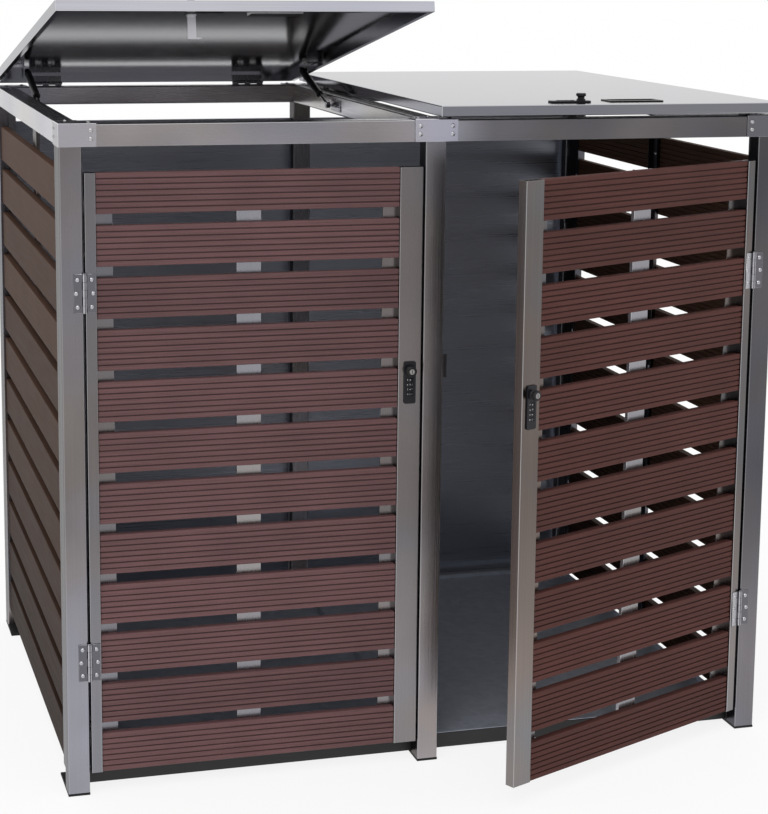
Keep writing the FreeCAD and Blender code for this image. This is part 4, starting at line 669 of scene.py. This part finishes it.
def moulded_on_steel(name, colour, steel, point, out, floor=False):
    """ABS above a plane and zinc-plated steel with a dull bloom below it, for a moulded piece
    on a steel one. The plane goes through a point, and out is the way that the plastic lies.
    floor leaves the faces that look the other way black, for a cup that is steel inside."""
    material = moulded_plastic(name, colour, 0.38)
    tree = material.node_tree
    plastic = tree.nodes["Principled BSDF"]
    coords = add(tree, "ShaderNodeTexCoord").outputs["Object"]
    height = add(tree, "ShaderNodeVectorMath", {0: coords, 1: out}, operation="DOT_PRODUCT")
    above = add(tree, "ShaderNodeMath", {0: height.outputs["Value"], 1: Vector(point).dot(out)},
                operation="GREATER_THAN")
    if floor:
        normal = add(tree, "ShaderNodeTexCoord").outputs["Normal"]
        slant = add(tree, "ShaderNodeVectorMath", {0: normal, 1: out}, operation="DOT_PRODUCT")
        aside = add(tree, "ShaderNodeMath", {0: slant.outputs["Value"], 1: -0.5}, operation="LESS_THAN")
        above = add(tree, "ShaderNodeMath", {0: above.outputs[0], 1: aside.outputs[0]}, operation="MAXIMUM")
    colour_of = plastic.inputs["Base Color"].links[0].from_socket
    mixed = add(tree, "ShaderNodeMix", {0: above.outputs[0], 6: linear(steel), 7: colour_of},
                data_type="RGBA")
    tree.links.new(mixed.outputs[2], plastic.inputs["Base Color"])
    metal = add(tree, "ShaderNodeMapRange", {"Value": above.outputs[0], "To Min": 0.5, "To Max": 0.0})
    tree.links.new(metal.outputs[0], plastic.inputs["Metallic"])
    return material


def outward(owner):
    """The way out of a lock's face: the knob's joint lies further out than its wheels'."""
    knob, wheels = joints[owner + "_knob_turn"], joints[owner + "_dials_turn"]
    axis = Vector(knob["axis"]).normalized()
    return axis if (Vector(knob["pos_m"]) - Vector(wheels["pos_m"])).dot(axis) > 0 else -axis


def key_plug():
    """Points and faces of a key cylinder's rim and face, up local Z, and of its keyway."""
    rings = [(PLUG_RADIUS, -0.0003), (PLUG_RADIUS, 0.6 * PLUG_RISE), (0.94 * PLUG_RADIUS, PLUG_RISE),
             (0.82 * PLUG_RADIUS, PLUG_RISE), (0.80 * PLUG_RADIUS, 0.2 * PLUG_RISE),
             (0.76 * PLUG_RADIUS, 0.2 * PLUG_RISE), (0.74 * PLUG_RADIUS, PLUG_RISE)]
    half_wide, half_long = 0.5 * KEYWAY[0], 0.5 * KEYWAY[1]
    slot_points = [(x, y, z) for z in (0.0, PLUG_RISE + KEYWAY_RISE)
                   for x, y in ((-half_wide, -half_long), (half_wide, -half_long),
                                (half_wide, half_long), (-half_wide, half_long))]
    slot_faces = [[3, 2, 1, 0], [4, 5, 6, 7]] + [[i, (i + 1) % 4, (i + 1) % 4 + 4, i + 4] for i in range(4)]
    plug = (np.array(ring_points(rings)), ring_faces(len(rings)))
    return plug, (np.array(slot_points), slot_faces)


nickel = brushed_stainless("nickel plate, key cylinders", "#8c8c92", "#908e8c", "z",
                           edge=0.0, lines=0.03, clouds=0.03, roughness=0.2, blur=0.0)
for owner in owners:
    out = outward(owner)
    knob_foot = Vector(joints[owner + "_knob_turn"]["pos_m"])
    # The plastic reaches a little below the knob's foot, and the spindle under it is steel.
    dress([owner + "_lock_knob"],
          moulded_on_steel("ABS on steel, " + owner, "#151518", "#d6d6dc",
                           knob_foot - KNOB_DEPTH * out, out))
    seat = np.array(knob_foot + KNOB_HEIGHT * out)
    for part, shape, finish, slot in zip(("_key_cylinder", "_keyway"), key_plug(), (nickel, lock_black),
                                         ("screw_steel", "lock_black")):
        own, own_faces = shape
        plug = piece_from(owner + part, own @ turn_to(out).T + seat, own_faces, finish,
                          owner + "_lock_knob")
        smooth_by_angle(plug)

figures = [number_shape(figure) for figure in range(WHEEL_FACES)]
for owner in owners:
    wheel_joint = joints[owner + "_dials_turn"]
    along = Vector(wheel_joint["axis"]).normalized()
    out = outward(owner)
    first = Vector(wheel_joint["pos_m"])
    away = (first - Vector(joints[owner + "_knob_turn"]["pos_m"])).dot(along)
    stride = math.copysign(WHEEL_PITCH, away)
    upright = np.array(Matrix((-out.cross(along), along, out)).transposed())
    points, faces = [], []
    for wheel in range(WHEELS):
        centre = np.array(first + along * wheel * stride)
        for figure, (own, own_faces) in enumerate(figures):
            roll = Matrix.Rotation(2 * math.pi * (figure + NUMBER_STEP * wheel) / WHEEL_FACES, 3, along)
            flat = (own + np.array([0, 0, WHEEL_FLAT])) @ upright.T @ np.array(roll).T + centre
            join_shape(points, faces, flat, own_faces)
    piece_from(owner + "_lock_numbers", np.concatenate(points), faces, number_white,
               owner + "_lock_dials")


# Lids. Folded pans of 1 mm stainless sheet with a hem turned in under the rim. The sheet
# keeps its bright mill finish. The left lid stands part open. Its front rim gets painted light and
# the shut right lid's painted shade, the undersides painted shade and the edges painted highlights.

LEFT_LID_TURN = math.radians(10.2)

for side, turn, rim in (("left", LEFT_LID_TURN, 1.65), ("right", 0.0, 0.56)):
    # Painted light and shade: rim brightens the left lid's front rim and darkens the right's, under darkens
    # the undersides, and edge adds painted highlights.
    lid_steel = brushed_stainless("bright stainless, %s lid" % side, "#9b9ca6", "#9e9ea5", "x",
                                  facing=(1.0, rim, 1.0), under=0.62, grazing=0.72, edge=0.7,
                                  lines=0.045, clouds=0.03, roughness=0.1, blur=0.3,
                                  turned=(-turn, 0.0, 0.0))
    dress([side + "_lid_pan"], lid_steel)
    soften([side + "_lid_pan"], 0.0018, 0.0003)


# Lid handles. A rim moulded in black ABS round a cup for the fingers with a plated steel
# lining, let into the lid beside its lock.

RIM_DEPTH = 0.0032

for side in ("left", "right"):
    out = outward(side + "_lid")
    rim_foot = Vector(joints[side + "_lid_knob_turn"]["pos_m"]) - RIM_DEPTH * out
    # The lining's near-white colour is painted light, which brightens the shaded inside of the cup.
    dress([side + "_lid_handle"],
          moulded_on_steel("ABS on steel, %s cup" % side, "#151517", "#f2f2f4", rim_foot, out, floor=True))
soften(["left_lid_handle", "right_lid_handle"], 0.0008)


# Gas springs. Each has a black painted steel cylinder and a black nitrided rod, and turns on
# the stud of a steel bracket at either end.

EYE_REACH = 0.005

spring_nodes = ["%s_lid_%s_spring_" % (side, place)
                for side in ("left", "right") for place in ("left", "right")]
spring_black = painted_steel("gloss paint, black", "#18181a")


def nitrided_rod(name, colour, eye_colour, eye):
    """Black nitrided steel rod with a zinc-plated end. The eye gets a dark mirror with faint
    rings from grinding, drawn 1 mm apart, and bright metal round the stud at a point."""
    material, tree, shader, coords = new_finish(name)
    ring_pitch = 0.0011
    rings = add(tree, "ShaderNodeTexNoise", {"Vector": coords, "Scale": 1 / ring_pitch, "Detail": 1.0})
    gloss = add(tree, "ShaderNodeMapRange", {"Value": rings.outputs[0], "To Min": 0.1, "To Max": 0.2})
    tree.links.new(gloss.outputs[0], shader.inputs["Roughness"])
    tone = add(tree, "ShaderNodeMapRange", {"Value": rings.outputs[0], "To Min": 0.9, "To Max": 1.1})
    away = add(tree, "ShaderNodeVectorMath", {0: coords, 1: eye}, operation="DISTANCE")
    plated = add(tree, "ShaderNodeMath", {0: away.outputs["Value"], 1: EYE_REACH}, operation="LESS_THAN")
    ends = add(tree, "ShaderNodeMix", {0: plated.outputs[0], 6: linear(colour), 7: linear(eye_colour)},
               data_type="RGBA")
    mixed = add(tree, "ShaderNodeMix", {0: 1.0, 6: ends.outputs[2], 7: tone.outputs[0]},
                data_type="RGBA", blend_type="MULTIPLY")
    tree.links.new(mixed.outputs[2], shader.inputs["Base Color"])
    shader.inputs["Metallic"].default_value = 1.0
    return material


dress([name + "cylinder" for name in spring_nodes], spring_black)
for name in spring_nodes:
    dress([name + "rod"],
          nitrided_rod("nitrided steel, " + name + "rod", "#3a3a3e", "#c6c6cc",
                       Vector(joints[name + "pivot"]["pos_m"])))
brackets = ["spring_frame_brackets", "left_lid_spring_brackets", "right_lid_spring_brackets"]
# The spring brackets take the same finish with its painted shade and edge highlights.
dress(brackets, bracket_steel)
soften(brackets, 0.001)
soften([name + part for name in spring_nodes for part in ("cylinder", "rod")], 0.0006, 0.0003)


# Room. A pale seamless floor out to the horizon, which looks white but keeps a faint shadow,
# an even studio sky that is brighter behind the store than in front of it, and one large
# soft lamp.

FLOOR_REACH = 150.0
FIBRE_SPACING = 0.025
PAPER_GLOW = 0.85
FRONT_GLOW = 0.2
REAR_GLOW = 1.0
SKY_GLOW = 0.9
KEY_DIRECTION = Vector((0.45, 0.75, -1.1))

corners = [(x * FLOOR_REACH, y * FLOOR_REACH, 0) for x, y in ((-1, -1), (1, -1), (1, 1), (-1, 1))]
floor_mesh = bpy.data.meshes.new("floor")
floor_mesh.from_pydata(corners, [], [(0, 1, 2, 3)])
floor = bpy.data.objects.new("floor", floor_mesh)
bpy.context.scene.collection.objects.link(floor)
paper, tree, shader, coords = new_finish("matt paper, white")
fibres = add(tree, "ShaderNodeTexNoise", {"Vector": coords, "Scale": 1 / FIBRE_SPACING, "Detail": 2.0})
tone = add(tree, "ShaderNodeMapRange", {"Value": fibres.outputs[0], "To Min": 0.99, "To Max": 1.01})
mixed = add(tree, "ShaderNodeMix", {0: 1.0, 6: linear("#f6f6f6"), 7: tone.outputs[0]},
            data_type="RGBA", blend_type="MULTIPLY")
tree.links.new(mixed.outputs[2], shader.inputs["Base Color"])
shader.inputs["Roughness"].default_value = 0.9
shader.inputs["Specular IOR Level"].default_value = 0.1
ray = add(tree, "ShaderNodeLightPath")
seen = add(tree, "ShaderNodeMath", {0: ray.outputs["Is Camera Ray"], 1: ray.outputs["Is Glossy Ray"]},
           operation="MAXIMUM")
seen = add(tree, "ShaderNodeMath", {0: seen.outputs[0], 1: ray.outputs["Is Transmission Ray"]},
           operation="MAXIMUM")
share = add(tree, "ShaderNodeMath", {0: seen.outputs[0], 1: PAPER_GLOW}, operation="MULTIPLY")
white = add(tree, "ShaderNodeEmission", {"Strength": 1.0})
surface = add(tree, "ShaderNodeMixShader", {0: share.outputs[0], 1: shader.outputs[0], 2: white.outputs[0]})
tree.links.new(surface.outputs[0], tree.nodes["Material Output"].inputs["Surface"])
floor_mesh.materials.append(paper)

sky = bpy.data.worlds.new("studio")
bpy.context.scene.world = sky
sky.use_nodes = True
tree = sky.node_tree
way = add(tree, "ShaderNodeTexCoord").outputs["Generated"]
axes = add(tree, "ShaderNodeSeparateXYZ", {"Vector": way})
behind = add(tree, "ShaderNodeMapRange",
             {"Value": axes.outputs["Y"], "From Min": -0.95, "From Max": -0.2,
              "To Min": FRONT_GLOW, "To Max": REAR_GLOW}, interpolation_type="SMOOTHSTEP")
above = add(tree, "ShaderNodeMapRange",
            {"Value": axes.outputs["Z"], "From Min": 0.02, "From Max": 0.3, "To Min": 0.0, "To Max": 1.0},
            interpolation_type="SMOOTHSTEP")
level = add(tree, "ShaderNodeMix", {"Factor": above.outputs[0], "A": behind.outputs[0], "B": SKY_GLOW})
tree.links.new(level.outputs[0], tree.nodes["Background"].inputs["Strength"])
tree.nodes["Background"].inputs["Color"].default_value = (1, 1, 1, 1)

key_light = bpy.data.lights.new("soft key", "SUN")
key_light.energy = 0.7
key_light.angle = math.radians(35)
key = bpy.data.objects.new("soft key", key_light)
key.rotation_euler = KEY_DIRECTION.to_track_quat("-Z", "Y").to_euler()
bpy.context.scene.collection.objects.link(key)


# Camera. It stands to the left at head height and looks a little down, as in the photograph.
# Its lens is shifted down, which keeps the uprights nearly parallel.

FRAME_PIXELS = (768, 814)
FOCAL_PIXELS = 2076.3
LENS_SHIFT = -0.12
SENSOR_WIDTH = 36.0

eye = Vector((-1.1648, -3.639, 1.5366))
yaw, pitch, roll = 0.287, 0.1705, -0.0112
look = Vector((math.sin(yaw) * math.cos(pitch), math.cos(yaw) * math.cos(pitch), -math.sin(pitch)))
right = Vector((math.cos(yaw), -math.sin(yaw), 0))
down = look.cross(right)
level_right = math.cos(roll) * right + math.sin(roll) * down
level_down = -math.sin(roll) * right + math.cos(roll) * down
lens = bpy.data.cameras.new("camera")
lens.sensor_width = SENSOR_WIDTH
lens.lens = FOCAL_PIXELS / max(FRAME_PIXELS) * SENSOR_WIDTH
lens.shift_y = LENS_SHIFT
lens.clip_end = 400.0
camera = bpy.data.objects.new("camera", lens)
aim = Matrix((level_right, -level_down, -look)).transposed()
camera.matrix_world = Matrix.Translation(eye) @ aim.to_4x4()
bpy.context.scene.collection.objects.link(camera)
bpy.context.scene.camera = camera
bpy.context.scene.view_settings.view_transform = "Standard"
